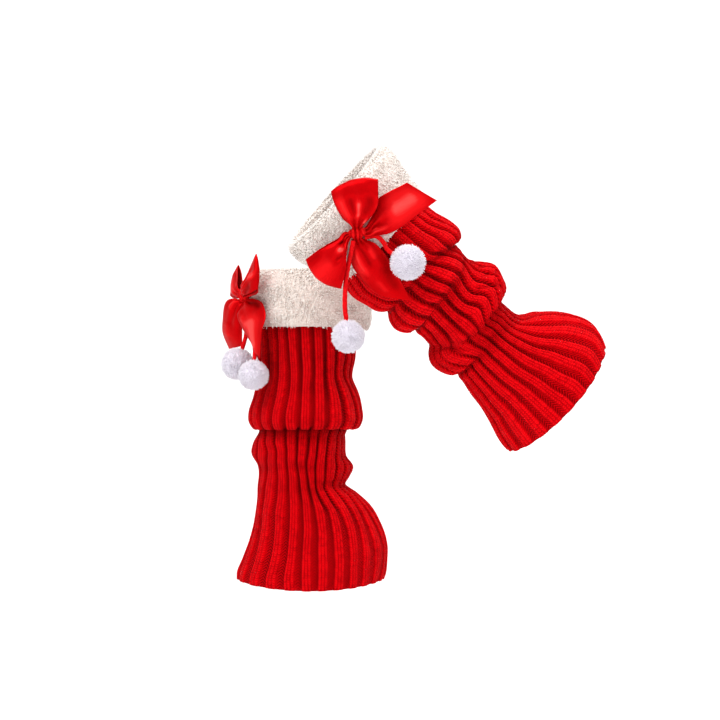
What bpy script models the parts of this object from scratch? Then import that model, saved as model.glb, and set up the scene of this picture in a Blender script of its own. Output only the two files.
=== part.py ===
"""A pair of rib-knit leg warmers with plush cuffs, ribbon bows and pompoms, worn.

Metres, +Z up. The origin lies on the standing one's axis, half-way down its cuff. Tables are in millimetres.
"""
import math

import bpy
import numpy as np

MM = 0.001

# The knit: a wall with raised ribs, all round the tube.
RIBS = 28
WALL = 2.0
RIDGE = (0.26, 0.74)      # where a rib's flat top starts and ends, as shares of its pitch

CUFF_COLUMNS = 42

RIBBON = 1.0              # thickness
RIBBON_STEPS = 4          # faces across its width
KNOT_HALF = (8.0, 6.0, 6.0)
CORD_RADIUS = 2.0
CORD_END = 0.5            # from a pompom's round outline
POMPOM_CORE = 8.6


class Tube:
    """Where one leg warmer is: the middle of its top edge, and its three directions."""

    def __init__(self, top, down, front):
        self.top = np.array(top)
        self.down = np.array(down) / np.linalg.norm(down)
        front = np.array(front) - self.down * np.dot(front, self.down)
        self.front = front / np.linalg.norm(front)
        self.side = np.cross(self.front, self.down)

    def ring(self, row, angles):
        """Points round the tube. Angle 0 is the front, 90 degrees the side, 180 the back."""
        front_down, front, side_down, side, back_down, back = row[:6]
        points = []
        for angle in angles:
            c = math.cos(angle)
            s = math.sin(angle)
            reach = front if c > 0 else back
            drop = front_down if c > 0 else back_down
            drop = drop * c * c + side_down * s * s
            points.append(
                self.top * 1000 + self.down * drop + self.front * reach * c + self.side * side * s
            )
        return np.array(points)


class Bow:
    """A bow's own directions at the middle of its knot: right, up and lift (off the cuff)."""

    def __init__(self, centre, lift, up):
        self.centre = np.array(centre)
        self.lift = np.array(lift) / np.linalg.norm(lift)
        up = np.array(up) - self.lift * np.dot(up, self.lift)
        self.up = up / np.linalg.norm(up)
        self.right = np.cross(self.up, self.lift)

    def point(self, right, up, lift):
        return self.centre * 1000 + self.right * right + self.up * up + self.lift * lift


STANDING = Tube(top=(0, 0, 0.0275), down=(0, 0, -1), front=(-1, 0, 0))
RAISED = Tube(top=(0.0224, -0.158, 0.0840), down=(0.737, 0.156, -0.657), front=(-0.666, 0, -0.746))

STANDING_BOW = Bow(centre=(-0.0640, -0.0220, 0.0042), lift=(-0.940, -0.342, 0), up=(0, 0, 1))
RAISED_BOW = Bow(centre=(0.0420, -0.2132, 0.0486), lift=(0, -0.972, -0.232), up=(0, -0.232, 0.972))

# Knit sections, top to hem. Distance down the tube and from its axis at the front, the
# sides and the back, then the height of the ribs.
# front_down, front, side_down, side, back_down, back, rib
STANDING_KNIT = (
    (6, 55.0, 6, 48.0, 6, 47.0, 0.2),    # top edge, inside the cuff
    (30, 54.8, 30, 47.8, 30, 45.5, 0.2),
    (54, 54.0, 54, 47.5, 56, 40.5, 1.0),    # cuff's lower edge
    (78, 51.8, 78, 47.2, 82, 38.6, 1.7),
    (100, 50.3, 99, 47.2, 101, 36.0, 1.7),
    (119, 54.8, 118, 51.2, 116, 41.8, 1.7),
    (134, 59.5, 132, 54.4, 129, 44.6, 1.7),
    (144, 58.8, 142, 55.2, 142, 45.4, 1.6),    # fold that hangs over
    (149, 55.3, 147, 52.2, 148.5, 41.8, 1.4),
    (147.5, 50.8, 145.5, 47.2, 147.5, 34.8, 1.2),
    (151, 49.6, 150, 44.0, 151, 30.8, 1.4),
    (163, 54.8, 163, 44.2, 163, 29.1, 1.7),
    (172, 56.8, 173, 44.7, 175, 29.8, 1.7),    # bulge in front
    (184, 50.8, 184, 43.2, 186, 37.0, 1.7),    # bulge behind
    (193, 49.8, 193, 42.2, 194, 33.3, 1.7),
    (203, 50.8, 202, 42.7, 202, 29.2, 1.7),    # narrowest
    (214, 51.2, 213, 45.7, 212, 41.3, 1.8),
    (225, 52.5, 224, 49.2, 223, 53.3, 1.8),
    (241, 55.5, 240, 53.2, 240, 63.8, 1.8),
    (257, 60.1, 258, 56.7, 257, 69.2, 1.8),
    (273, 66.3, 276, 59.7, 272, 70.0, 1.8),
    (285, 71.1, 289, 61.2, 284, 68.8, 1.7),
    (291, 72.1, 296, 61.7, 291, 67.1, 1.2),    # hem
)

RAISED_KNIT = (
    (6, 55.5, 6, 48.5, 6, 55.5, 0.2),    # top edge, inside the cuff
    (28, 52.5, 28, 48.0, 28, 51.0, 0.2),
    (54, 49.0, 54, 47.5, 58, 47.0, 1.0),    # cuff's lower edge
    (70, 52.3, 70, 50.0, 74, 47.0, 1.7),
    (85, 49.6, 82, 50.8, 90, 50.2, 1.7),
    (94, 47.8, 88, 50.0, 101, 49.8, 1.5),    # first fold
    (99, 43.9, 91.5, 48.2, 105, 45.8, 1.3),
    (100.5, 41.1, 93.5, 47.0, 104, 39.8, 1.3),
    (110, 47.6, 103, 49.6, 108, 37.6, 1.6),
    (118, 49.2, 113, 50.7, 111.5, 37.2, 1.6),    # second fold, fades out behind
    (127, 43.2, 122, 46.7, 115, 36.9, 1.4),
    (126.8, 39.0, 121.5, 41.9, 118.5, 36.7, 1.3),
    (134, 38.0, 127, 40.0, 123, 36.3, 1.6),
    (141, 37.8, 142, 40.7, 130, 39.4, 1.6),
    (147, 38.6, 156, 46.0, 145.5, 48.6, 1.6),    # third fold, fades out in front
    (150, 40.5, 164, 42.5, 165, 37.5, 1.4),
    (154, 46.4, 163.8, 37.7, 165, 30.6, 1.3),
    (159, 50.0, 167, 36.7, 169, 28.7, 1.5),
    (167, 50.9, 171, 36.7, 175, 28.5, 1.6),    # fourth fold, in front only
    (181, 45.1, 178, 36.5, 181, 28.3, 1.5),
    (181.5, 41.5, 181, 36.6, 185, 28.5, 1.5),
    (189, 42.5, 188, 39.0, 192, 30.9, 1.8),    # narrowest
    (202, 45.3, 201, 44.2, 201, 42.9, 1.8),
    (215, 48.2, 215, 49.0, 215, 56.1, 1.8),
    (232, 52.3, 232, 54.5, 231, 64.9, 1.8),
    (250, 58.8, 251, 58.9, 248, 68.2, 1.7),
    (264, 62.7, 266, 61.2, 263, 62.5, 1.2),    # hem
)

# Plush cuffs, folded down over the knit's top edge: the outline of a cut through the
# band, from its outer lower edge up, over the fold and back.
# front_down, front, side_down, side, back_down, back
STANDING_CUFF = (
    (54.0, 59.6, 54.0, 53.4, 55.5, 52.6),
    (47.0, 61.9, 47.0, 55.0, 48.0, 55.0),
    (28.0, 62.2, 28.0, 55.2, 28.0, 54.6),
    (9.0, 61.4, 9.0, 54.4, 9.0, 53.4),
    (2.2, 59.2, 2.2, 52.2, 2.2, 51.2),
    (0.0, 55.5, 0.0, 48.5, 0.0, 47.5),
    (2.0, 51.6, 2.0, 44.6, 2.0, 43.6),
    (9.0, 50.0, 9.0, 43.0, 9.0, 42.0),
    (20.0, 50.0, 20.0, 43.0, 20.0, 41.2),
    (20.0, 52.3, 20.0, 45.3, 20.0, 43.4),
    (5.3, 52.3, 5.3, 45.3, 5.3, 44.3),
    (5.3, 55.9, 5.3, 48.9, 5.3, 47.9),
    (30.0, 55.8, 30.0, 48.8, 30.0, 48.0),
    (54.0, 55.9, 54.0, 49.4, 55.5, 48.4),
)

RAISED_CUFF = (
    (53.0, 53.8, 54.0, 53.4, 58.0, 51.6),
    (46.0, 56.4, 46.0, 55.0, 49.0, 54.2),
    (28.0, 59.2, 28.0, 55.4, 28.0, 58.2),
    (9.0, 61.8, 9.0, 55.2, 9.0, 61.8),
    (2.2, 60.4, 2.2, 53.2, 2.2, 60.4),
    (0.0, 56.8, 0.0, 49.6, 0.0, 56.8),
    (2.0, 52.6, 2.0, 45.4, 2.0, 52.6),
    (9.0, 50.3, 9.0, 43.4, 9.0, 50.3),
    (20.0, 49.0, 20.0, 43.2, 20.0, 48.6),
    (20.0, 51.0, 20.0, 45.4, 20.0, 50.0),
    (5.3, 52.9, 5.3, 45.8, 5.3, 52.9),
    (5.3, 56.4, 5.3, 49.4, 5.3, 56.4),
    (29.0, 53.6, 29.0, 49.0, 29.0, 52.0),
    (53.0, 51.4, 54.0, 49.6, 58.0, 49.4),
)

# Ribbons: both edges of the strip at each station in the bow's directions, and how far
# the middle of the strip stands out between them.
# right_a, up_a, lift_a, right_b, up_b, lift_b, crown
STANDING_LOOP_A = (
    (7.4, 5.5, 3.4, 8.9, -3.0, 3.4, 0.0),
    (13, 9.5, 5.6, 16, -1.8, 6.0, 1.0),
    (21.5, 20, 2.6, 27, -0.5, 5.2, 1.5),
    (28.5, 29.5, 0.2, 34.5, 1.0, 2.4, 1.5),
    (33.5, 36.5, -2.0, 38, 3.6, -1.2, 2.0),
    (28.5, 30.5, -3.6, 34, 1.6, -3.6, 1.0),
    (21.5, 21.5, -3.6, 27, -0.6, -3.8, 1.0),
    (13.5, 11.5, -2.4, 16, -1.5, -2.6, 0.5),
    (7.8, 5.8, 0.6, 9.2, -2.8, 0.6, 0.0),
)
STANDING_LOOP_B = (
    (-7.4, 5.5, 3.4, -8.9, -3.0, 3.4, 0.0),
    (-13, 11.0, 3.0, -16, -3.0, 4.4, 1.0),
    (-20, 17.0, 0.6, -24, -1.6, 5.2, 1.5),
    (-27, 24, -1.6, -30.5, 0.6, 4.6, 1.5),
    (-32, 29.5, -3.9, -34, 4.4, 2.6, 2.0),
    (-28, 23, -5.2, -31, 2.0, -0.6, 1.0),
    (-21, 15.5, -4.2, -25, -0.4, -2.2, 1.0),
    (-13, 9.5, -2.2, -16, -1.8, -1.8, 0.5),
    (-7.8, 5.8, 0.6, -9.2, -2.8, 0.6, 0.0),
)
STANDING_TAIL_A = (
    (2.4, -6.8, -0.8, 8.8, -4.4, -0.8, 0.0),
    (1.0, -13, 4.0, 15, -4.2, -4.5, 1.0),
    (1.5, -19, 7.0, 27, -7.5, -8.5, 1.5),
    (4, -29, 4.0, 37, -20, -9.8, 3.0),
    (11, -40, -0.5, 41, -35, -5.0, 3.0),
    (20, -46, -2.0, 38.5, -59.5, -4.0, 1.5),
)
STANDING_TAIL_B = (
    (-8.8, -4.4, -0.8, -2.4, -6.8, -0.8, 0.0),
    (-14, -3.4, 7.6, -3.0, -14, 2.0, 1.0),
    (-22, -7.0, 11.6, -3.5, -25, 2.0, 2.0),
    (-30, -22.5, 12.0, -4, -34, 1.0, 2.5),
    (-33, -36, 11.0, -5, -43, 0.5, 2.5),
    (-30, -50.5, 5.8, -5.5, -48, 0.0, 1.5),
)
RAISED_LOOP_A = (
    (-5.5, 6.3, 3.4, 5.5, 6.3, 3.4, 0.0),
    (-11.5, 12.5, 6.0, 13.0, 16.0, 8.5, 1.5),
    (-17, 22.5, 8.5, 17.3, 25.5, 11.0, 2.0),
    (-20.2, 31, 8.0, 17.5, 36, 11.0, 2.5),
    (-21.2, 35, 4.0, 17.4, 45.0, 5.5, 3.0),
    (-20.2, 31, 0.0, 17, 38, 1.0, 1.0),
    (-16.5, 22.5, -1.2, 14, 27, -0.8, 0.5),
    (-11.5, 15, -1.0, 10, 17, -1.0, 0.5),
    (-5.5, 6.6, 0.4, 5.5, 6.6, 0.4, 0.0),
)
RAISED_LOOP_B = (
    (-9.6, 0.6, 3.0, -6.4, -5.6, 3.0, 0.0),
    (-15, -4.5, 7.0, -8.5, -15.5, 7.5, 1.5),
    (-26, -10.5, 9.0, -9, -28, 10.5, 2.5),
    (-36, -17, 8.0, -11.5, -39.5, 9.5, 2.5),
    (-42.4, -22, 3.5, -13, -46.2, 4.5, 3.5),
    (-36, -17.5, -0.5, -11.5, -40, -0.5, 1.5),
    (-26, -11, -2.0, -9.5, -28.5, -1.5, 0.5),
    (-15.5, -5, -1.5, -8.8, -16, -1.2, 0.5),
    (-9.9, 0.4, 0.3, -6.8, -6.0, 0.3, 0.0),
)
RAISED_TAIL_A = (
    (7.6, 4.8, -2.6, 8.4, -0.8, -2.6, 0.0),
    (14, 17, -3.0, 17, 0, -3.0, 1.5),
    (18, 28, -3.0, 26.5, 0, -2.5, 2.0),
    (26, 33.5, -2.0, 37, 4.5, -1.5, 2.0),
    (34, 37.8, -1.0, 49, 14, -1.0, 1.5),
    (41.4, 41.7, -0.5, 66.2, 27, 0.0, 0.5),
)
RAISED_TAIL_B = (
    (-4.0, -6.4, -2.6, 5.8, -5.8, -2.6, 0.0),
    (-5.5, -17.5, -2.5, 15, -9.5, -3.5, 4.0),
    (-4.5, -26.5, -3.5, 22, -17, -5.0, 5.0),
    (0.5, -36, -5.5, 28, -27, -6.5, 4.5),
    (8, -45.5, -7.0, 35, -39, -7.5, 3.5),
    (19.5, -55, -7.5, 45.5, -59, -7.5, 1.5),
)

# Pompoms: middle in the bow's directions, and radius.
# right, up, lift, radius
STANDING_POMPOM_A = (-4.5, -64.8, 5.2, 15.9)
STANDING_POMPOM_B = (25.2, -74.9, -1.8, 14.6)
RAISED_POMPOM_A = (-7.2, -85.0, 14.0, 14.5)
RAISED_POMPOM_B = (42.3, -24.0, 5.3, 15.4)

# Cords: points from the knot towards the pompom in the bow's directions.
# right, up, lift
STANDING_CORD_A = ((-2.4, -6.2, -3.8), (-2.0, -22, -3.8), (-1.5, -36, -2.6), (-1.5, -44, -0.9))
STANDING_CORD_B = ((2.4, -6.2, -3.8), (6.5, -22, -3.9), (13, -39, -5.2), (20, -53, -4.6))
RAISED_CORD_A = ((-3, -6.4, 2.8), (-4.6, -15, 2.8), (-7.0, -26, 3.4), (-9.3, -42, 5.5), (-10, -60, 9))
RAISED_CORD_B = ((8.5, -4.2, -3.2), (15.5, -3.4, -3.8), (21.5, -8, -3.5), (26, -15, -1.5))


def clear_scene():
    for item in list(bpy.data.objects):
        bpy.data.objects.remove(item, do_unlink=True)


def add_object(name, data):
    item = bpy.data.objects.new(name, data)
    bpy.context.scene.collection.objects.link(item)
    return item


def add_solid(name, points, faces):
    """A closed mesh from points in millimetres, its faces turned outward."""
    mesh = bpy.data.meshes.new(name)
    mesh.from_pydata([tuple(point * MM) for point in points], [], faces)
    mesh.validate()
    volume = 0.0
    for face in faces:
        first = points[face[0]]
        for k in range(1, len(face) - 1):
            volume += np.dot(first, np.cross(points[face[k]], points[face[k + 1]]))
    if volume < 0:
        mesh.flip_normals()
    return add_object(name, mesh)


def surface_normals(grid, closed_across):
    """Normals of a grid of points, rows down and columns across."""
    down = np.gradient(grid, axis=0)
    if closed_across:
        across = np.roll(grid, -1, axis=1) - np.roll(grid, 1, axis=1)
    else:
        across = np.gradient(grid, axis=1)
    normals = np.cross(down, across)
    return normals / np.linalg.norm(normals, axis=2, keepdims=True)


def knit_tube(name, tube, table):
    """A ribbed tube: ribs raised on the outside of a plain inner wall."""
    pitch = math.tau / RIBS
    shares = (0.0,) + RIDGE
    angles = [(rib + share) * pitch for rib in range(RIBS) for share in shares]
    grid = np.array([tube.ring(row, angles) for row in table])
    normals = surface_normals(grid, closed_across=True)
    axis = tube.top * 1000 + tube.down * 60
    if np.dot(normals[2][0], grid[2][0] - axis) < 0:
        normals = -normals
    height = np.zeros(grid.shape)
    for i, row in enumerate(table):
        height[i, 1::3] = row[6]
        height[i, 2::3] = row[6]
    outer = grid + normals * height
    inner = (grid - normals * WALL)[:, ::3]
    rows, columns = outer.shape[:2]
    first_inner = rows * columns
    points = list(outer.reshape(-1, 3)) + list(inner.reshape(-1, 3))
    faces = []
    for i in range(rows - 1):
        for j in range(columns):
            a = i * columns + j
            b = i * columns + (j + 1) % columns
            faces.append((a, b, b + columns, a + columns))
        for j in range(RIBS):
            a = first_inner + i * RIBS + j
            b = first_inner + i * RIBS + (j + 1) % RIBS
            faces.append((a, a + RIBS, b + RIBS, b))
    for rib in range(RIBS):
        a = 3 * rib
        far = (a + 3) % columns
        inside = first_inner + rib
        beyond = first_inner + (rib + 1) % RIBS
        faces.append((a, inside, beyond, far, a + 2, a + 1))
        low = (rows - 1) * columns
        drop = (rows - 1) * RIBS
        faces.append((low + a, low + a + 1, low + a + 2, low + far, beyond + drop, inside + drop))
    return add_solid(name, points, faces)


def plush_cuff(name, tube, table):
    """A band whose cut is a closed outline, carried round the tube."""
    angles = [math.tau * j / CUFF_COLUMNS for j in range(CUFF_COLUMNS)]
    rings = [tube.ring(row, angles) for row in table]
    points = [point for ring in rings for point in ring]
    faces = []
    for i in range(len(rings)):
        here = i * CUFF_COLUMNS
        after = (i + 1) % len(rings) * CUFF_COLUMNS
        for j in range(CUFF_COLUMNS):
            k = (j + 1) % CUFF_COLUMNS
            faces.append((here + j, here + k, after + k, after + j))
    return add_solid(name, points, faces)


def ribbon(name, bow, table):
    """A strip between two edges, with its middle crowned."""
    grid = []
    for row in table:
        edge_a = bow.point(*row[0:3])
        edge_b = bow.point(*row[3:6])
        grid.append([edge_a + (edge_b - edge_a) * k / RIBBON_STEPS for k in range(RIBBON_STEPS + 1)])
    grid = np.array(grid)
    normals = surface_normals(grid, closed_across=False)
    if np.dot(normals[1][RIBBON_STEPS // 2], bow.lift) < 0:
        normals = -normals
    for i, row in enumerate(table):
        for k in range(RIBBON_STEPS + 1):
            share = 2 * k / RIBBON_STEPS - 1
            grid[i][k] += normals[i][k] * row[6] * (1 - share * share)
    normals = surface_normals(grid, closed_across=False)
    front = grid + normals * RIBBON / 2
    rear = grid - normals * RIBBON / 2
    rows, columns = grid.shape[:2]
    count = rows * columns
    points = list(front.reshape(-1, 3)) + list(rear.reshape(-1, 3))
    faces = []
    for i in range(rows - 1):
        for j in range(columns - 1):
            a = i * columns + j
            faces.append((a, a + 1, a + 1 + columns, a + columns))
            a += count
            faces.append((a, a + columns, a + 1 + columns, a + 1))
        a = i * columns
        faces.append((a, a + columns, a + columns + count, a + count))
        a += columns - 1
        faces.append((a, a + count, a + columns + count, a + columns))
    for j in range(columns - 1):
        faces.append((j, j + count, j + 1 + count, j + 1))
        a = (rows - 1) * columns + j
        faces.append((a, a + 1, a + 1 + count, a + count))
    return add_solid(name, points, faces)


def bow_knot(name, bow):
    """The wrapped middle of a bow, a rounded bead."""
    rings = 6
    columns = 12
    points = [bow.point(-KNOT_HALF[0], 0, 0)]
    for i in range(1, rings):
        turn = math.pi * i / rings
        reach = math.sin(turn) ** 0.6
        for j in range(columns):
            angle = math.tau * j / columns
            up = KNOT_HALF[1] * reach * math.cos(angle)
            lift = KNOT_HALF[2] * reach * math.sin(angle)
            points.append(bow.point(-KNOT_HALF[0] * math.cos(turn), up, lift))
    points.append(bow.point(KNOT_HALF[0], 0, 0))
    faces = []
    last = len(points) - 1
    for j in range(columns):
        k = (j + 1) % columns
        faces.append((0, 1 + j, 1 + k))
        for i in range(rings - 2):
            a = 1 + i * columns
            faces.append((a + j, a + columns + j, a + columns + k, a + k))
        a = last - columns
        faces.append((a + j, last, a + k))
    return add_solid(name, points, faces)


def smooth_line(controls, steps):
    """A Catmull-Rom line through the control points."""
    controls = [np.array(point, dtype=float) for point in controls]
    padded = [2 * controls[0] - controls[1]] + controls + [2 * controls[-1] - controls[-2]]
    line = []
    for i in range(1, len(padded) - 2):
        p0, p1, p2, p3 = padded[i - 1:i + 3]
        for k in range(steps):
            t = k / steps
            line.append(0.5 * (
                2 * p1 + (p2 - p0) * t
                + (2 * p0 - 5 * p1 + 4 * p2 - p3) * t ** 2
                + (3 * p1 - p0 - 3 * p2 + p3) * t ** 3
            ))
    line.append(controls[-1])
    return line


def cord(name, bow, controls, pompom):
    """A round cord from the knot to just short of its pompom."""
    middle = np.array(pompom[:3], dtype=float)
    away = np.array(controls[-1]) - middle
    end = middle + away / np.linalg.norm(away) * (pompom[3] + CORD_END)
    line = smooth_line(list(controls) + [end], 2)
    curve = bpy.data.curves.new(name, "CURVE")
    curve.dimensions = "3D"
    curve.bevel_depth = CORD_RADIUS * MM
    curve.bevel_resolution = 2
    curve.use_fill_caps = True
    spline = curve.splines.new("POLY")
    spline.points.add(len(line) - 1)
    for k, place in enumerate(line):
        spline.points[k].co = (*(bow.point(*place) * MM), 1.0)
    return add_object(name, curve)


def sixty_faces():
    """Unit points and faces of a ball of 60 like triangles, twelve groups of five."""
    golden = (1 + math.sqrt(5)) / 2
    tips = []
    for a in (-1, 1):
        for b in (-golden, golden):
            tips += [(0, a, b), (a, b, 0), (b, 0, a)]
    tips = [np.array(tip) / np.linalg.norm(tip) for tip in tips]
    near = 1.2
    corners = []
    for i in range(12):
        for j in range(i + 1, 12):
            for k in range(j + 1, 12):
                sides = (tips[i] - tips[j], tips[j] - tips[k], tips[k] - tips[i])
                if all(np.linalg.norm(side) < near for side in sides):
                    corner = tips[i] + tips[j] + tips[k]
                    corners.append(corner / np.linalg.norm(corner))
    faces = []
    for i, tip in enumerate(tips):
        around = [k for k, corner in enumerate(corners) if np.dot(corner, tip) > 0.7]
        start = corners[around[0]] - tip * np.dot(corners[around[0]], tip)
        beside = np.cross(tip, start)
        around.sort(key=lambda k: math.atan2(np.dot(corners[k], beside), np.dot(corners[k], start)))
        for k in range(5):
            faces.append((i, 12 + around[k], 12 + around[(k + 1) % 5]))
    return tips + corners, faces


def pompom(name, bow, place):
    """Sixty three-sided locks standing out of a ball, apart but for their roots."""
    centre = bow.point(*place[:3])
    radius = place[3]
    directions, roots = sixty_faces()
    points = [centre + direction * POMPOM_CORE for direction in directions]
    faces = []
    for root in roots:
        middle = sum(directions[k] for k in root) / 3
        first = len(points)
        for k in root:
            tip = middle + (directions[k] - middle) * 0.62
            points.append(centre + tip / np.linalg.norm(tip) * radius)
        for k in range(3):
            m = (k + 1) % 3
            faces.append((root[k], root[m], first + m, first + k))
        faces.append((first, first + 1, first + 2))
    return add_solid(name, points, faces)


def build():
    clear_scene()
    knit_tube("standing_knit_tube", STANDING, STANDING_KNIT)
    knit_tube("raised_knit_tube", RAISED, RAISED_KNIT)
    plush_cuff("standing_plush_cuff", STANDING, STANDING_CUFF)
    plush_cuff("raised_plush_cuff", RAISED, RAISED_CUFF)

    bow_knot("standing_bow_knot", STANDING_BOW)
    ribbon("standing_bow_loop_a", STANDING_BOW, STANDING_LOOP_A)
    ribbon("standing_bow_loop_b", STANDING_BOW, STANDING_LOOP_B)
    ribbon("standing_bow_tail_a", STANDING_BOW, STANDING_TAIL_A)
    ribbon("standing_bow_tail_b", STANDING_BOW, STANDING_TAIL_B)

    bow_knot("raised_bow_knot", RAISED_BOW)
    ribbon("raised_bow_loop_a", RAISED_BOW, RAISED_LOOP_A)
    ribbon("raised_bow_loop_b", RAISED_BOW, RAISED_LOOP_B)
    ribbon("raised_bow_tail_a", RAISED_BOW, RAISED_TAIL_A)
    ribbon("raised_bow_tail_b", RAISED_BOW, RAISED_TAIL_B)

    cord("standing_cord_a", STANDING_BOW, STANDING_CORD_A, STANDING_POMPOM_A)
    cord("standing_cord_b", STANDING_BOW, STANDING_CORD_B, STANDING_POMPOM_B)
    cord("raised_cord_a", RAISED_BOW, RAISED_CORD_A, RAISED_POMPOM_A)
    cord("raised_cord_b", RAISED_BOW, RAISED_CORD_B, RAISED_POMPOM_B)

    pompom("standing_pompom_a", STANDING_BOW, STANDING_POMPOM_A)
    pompom("standing_pompom_b", STANDING_BOW, STANDING_POMPOM_B)
    pompom("raised_pompom_a", RAISED_BOW, RAISED_POMPOM_A)
    pompom("raised_pompom_b", RAISED_BOW, RAISED_POMPOM_B)


build()
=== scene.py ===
"""Looks of a pair of rib-knit leg warmers with plush cuffs, satin bows and pompoms.

Tables are in millimetres and degrees; meshes are in metres, in the frame's own place.
"""
import math

import bpy
import numpy as np
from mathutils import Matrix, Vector


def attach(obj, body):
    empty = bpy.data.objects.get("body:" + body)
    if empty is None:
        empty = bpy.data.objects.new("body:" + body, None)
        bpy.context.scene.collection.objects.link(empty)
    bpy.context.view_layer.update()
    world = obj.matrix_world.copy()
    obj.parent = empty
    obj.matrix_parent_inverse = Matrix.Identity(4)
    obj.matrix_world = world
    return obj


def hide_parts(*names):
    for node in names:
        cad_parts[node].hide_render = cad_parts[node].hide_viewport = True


MM = 0.001

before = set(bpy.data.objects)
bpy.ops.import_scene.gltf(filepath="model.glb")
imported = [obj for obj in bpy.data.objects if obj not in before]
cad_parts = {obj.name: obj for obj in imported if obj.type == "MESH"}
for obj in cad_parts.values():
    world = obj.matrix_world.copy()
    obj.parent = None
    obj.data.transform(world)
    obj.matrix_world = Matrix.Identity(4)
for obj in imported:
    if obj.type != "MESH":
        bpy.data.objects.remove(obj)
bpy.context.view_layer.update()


class Tube:
    """Where one leg warmer is: the middle of its top edge, and its three directions."""

    def __init__(self, top, down, front):
        self.top = np.array(top) * 1000
        self.down = np.array(down) / np.linalg.norm(down)
        front = np.array(front) - self.down * np.dot(front, self.down)
        self.front = front / np.linalg.norm(front)
        self.side = np.cross(self.front, self.down)

    def points(self, rows, angles):
        """Points at each row's angles. Angle 0 is the front, 90 degrees the near side."""
        front_down, front, side_down, side, back_down, back = (rows[:, k:k + 1] for k in range(6))
        c = np.cos(angles)
        s = np.sin(angles)
        reach = np.where(c > 0, front, back)
        drop = np.where(c > 0, front_down, back_down) * c * c + side_down * s * s
        return (
            self.top + drop[..., None] * self.down + (reach * c)[..., None] * self.front
            + (side * s)[..., None] * self.side
        )


class Bow:
    """A bow's own directions at the middle of its knot: right, up and lift (off the cuff)."""

    def __init__(self, centre, lift, up):
        self.centre = np.array(centre) * 1000
        self.lift = np.array(lift) / np.linalg.norm(lift)
        up = np.array(up) - self.lift * np.dot(up, self.lift)
        self.up = up / np.linalg.norm(up)
        self.right = np.cross(self.up, self.lift)
        self.axes = np.array([self.right, self.up, self.lift])

    def place(self, points):
        """Points given as right, up and lift, in the frame."""
        return self.centre + np.asarray(points, dtype=float) @ self.axes


STANDING = Tube(top=(0, 0, 0.0275), down=(0, 0, -1), front=(-1, 0, 0))
RAISED = Tube(top=(0.0224, -0.158, 0.0840), down=(0.737, 0.156, -0.657), front=(-0.666, 0, -0.746))

STANDING_BOW = Bow(centre=(-0.0640, -0.0220, 0.0042), lift=(-0.940, -0.342, 0), up=(0, 0, 1))
RAISED_BOW = Bow(centre=(0.0420, -0.2132, 0.0486), lift=(0, -0.972, -0.232), up=(0, -0.232, 0.972))

# Pompoms: middle in the bow's directions, and radius.
# right, up, lift, radius
STANDING_POMPOM_A = (-4.5, -64.8, 5.2, 15.9)
STANDING_POMPOM_B = (25.2, -74.9, -1.8, 14.6)
RAISED_POMPOM_A = (-7.2, -85, 14, 14.5)
RAISED_POMPOM_B = (42.3, -24, 5.3, 15.4)

CORD_RADIUS = 2.0
# A cord's solid ends this far outside its pompom.
CORD_END = 0.5

# Cords: points from the knot towards the pompom in the bow's directions.
# right, up, lift
STANDING_CORD_A = ((-2.4, -6.2, -3.8), (-2, -22, -3.8), (-1.5, -36, -2.6), (-1.5, -44, -0.9))
STANDING_CORD_B = ((2.4, -6.2, -3.8), (6.5, -22, -3.9), (13, -39, -5.2), (20, -53, -4.6))
RAISED_CORD_A = ((-3, -6.4, 2.8), (-4.6, -15, 2.8), (-7, -26, 3.4), (-9.3, -42, 5.5), (-10, -60, 9))
RAISED_CORD_B = ((8.5, -4.2, -3.2), (15.5, -3.4, -3.8), (21.5, -8, -3.5), (26, -15, -1.5))

# Knit sections, top to hem: distance down the tube and from its axis at the front, the
# sides and the back, then the height of the ribs.
# front_down, front, side_down, side, back_down, back, rib
STANDING_KNIT = (
    (6, 55, 6, 48, 6, 47, 0.2),
    (30, 54.8, 30, 47.8, 30, 45.5, 0.2),
    (54, 54, 54, 47.5, 56, 40.5, 1),
    (78, 51.8, 78, 47.2, 82, 38.6, 1.7),
    (100, 50.3, 99, 47.2, 101, 36, 1.7),
    (119, 54.8, 118, 51.2, 116, 41.8, 1.7),
    (134, 59.5, 132, 54.4, 129, 44.6, 1.7),
    (144, 58.8, 142, 55.2, 142, 45.4, 1.6),
    (149, 55.3, 147, 52.2, 148.5, 41.8, 1.4),
    (147.5, 50.8, 145.5, 47.2, 147.5, 34.8, 1.2),
    (151, 49.6, 150, 44, 151, 30.8, 1.4),
    (163, 54.8, 163, 44.2, 163, 29.1, 1.7),
    (172, 56.8, 173, 44.7, 175, 29.8, 1.7),
    (184, 50.8, 184, 43.2, 186, 37, 1.7),
    (193, 49.8, 193, 42.2, 194, 33.3, 1.7),
    (203, 50.8, 202, 42.7, 202, 29.2, 1.7),
    (214, 51.2, 213, 45.7, 212, 41.3, 1.8),
    (225, 52.5, 224, 49.2, 223, 53.3, 1.8),
    (241, 55.5, 240, 53.2, 240, 63.8, 1.8),
    (257, 60.1, 258, 56.7, 257, 69.2, 1.8),
    (273, 66.3, 276, 59.7, 272, 70, 1.8),
    (285, 71.1, 289, 61.2, 284, 68.8, 1.7),
    (291, 72.1, 296, 61.7, 291, 67.1, 1.2),
)

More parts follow.
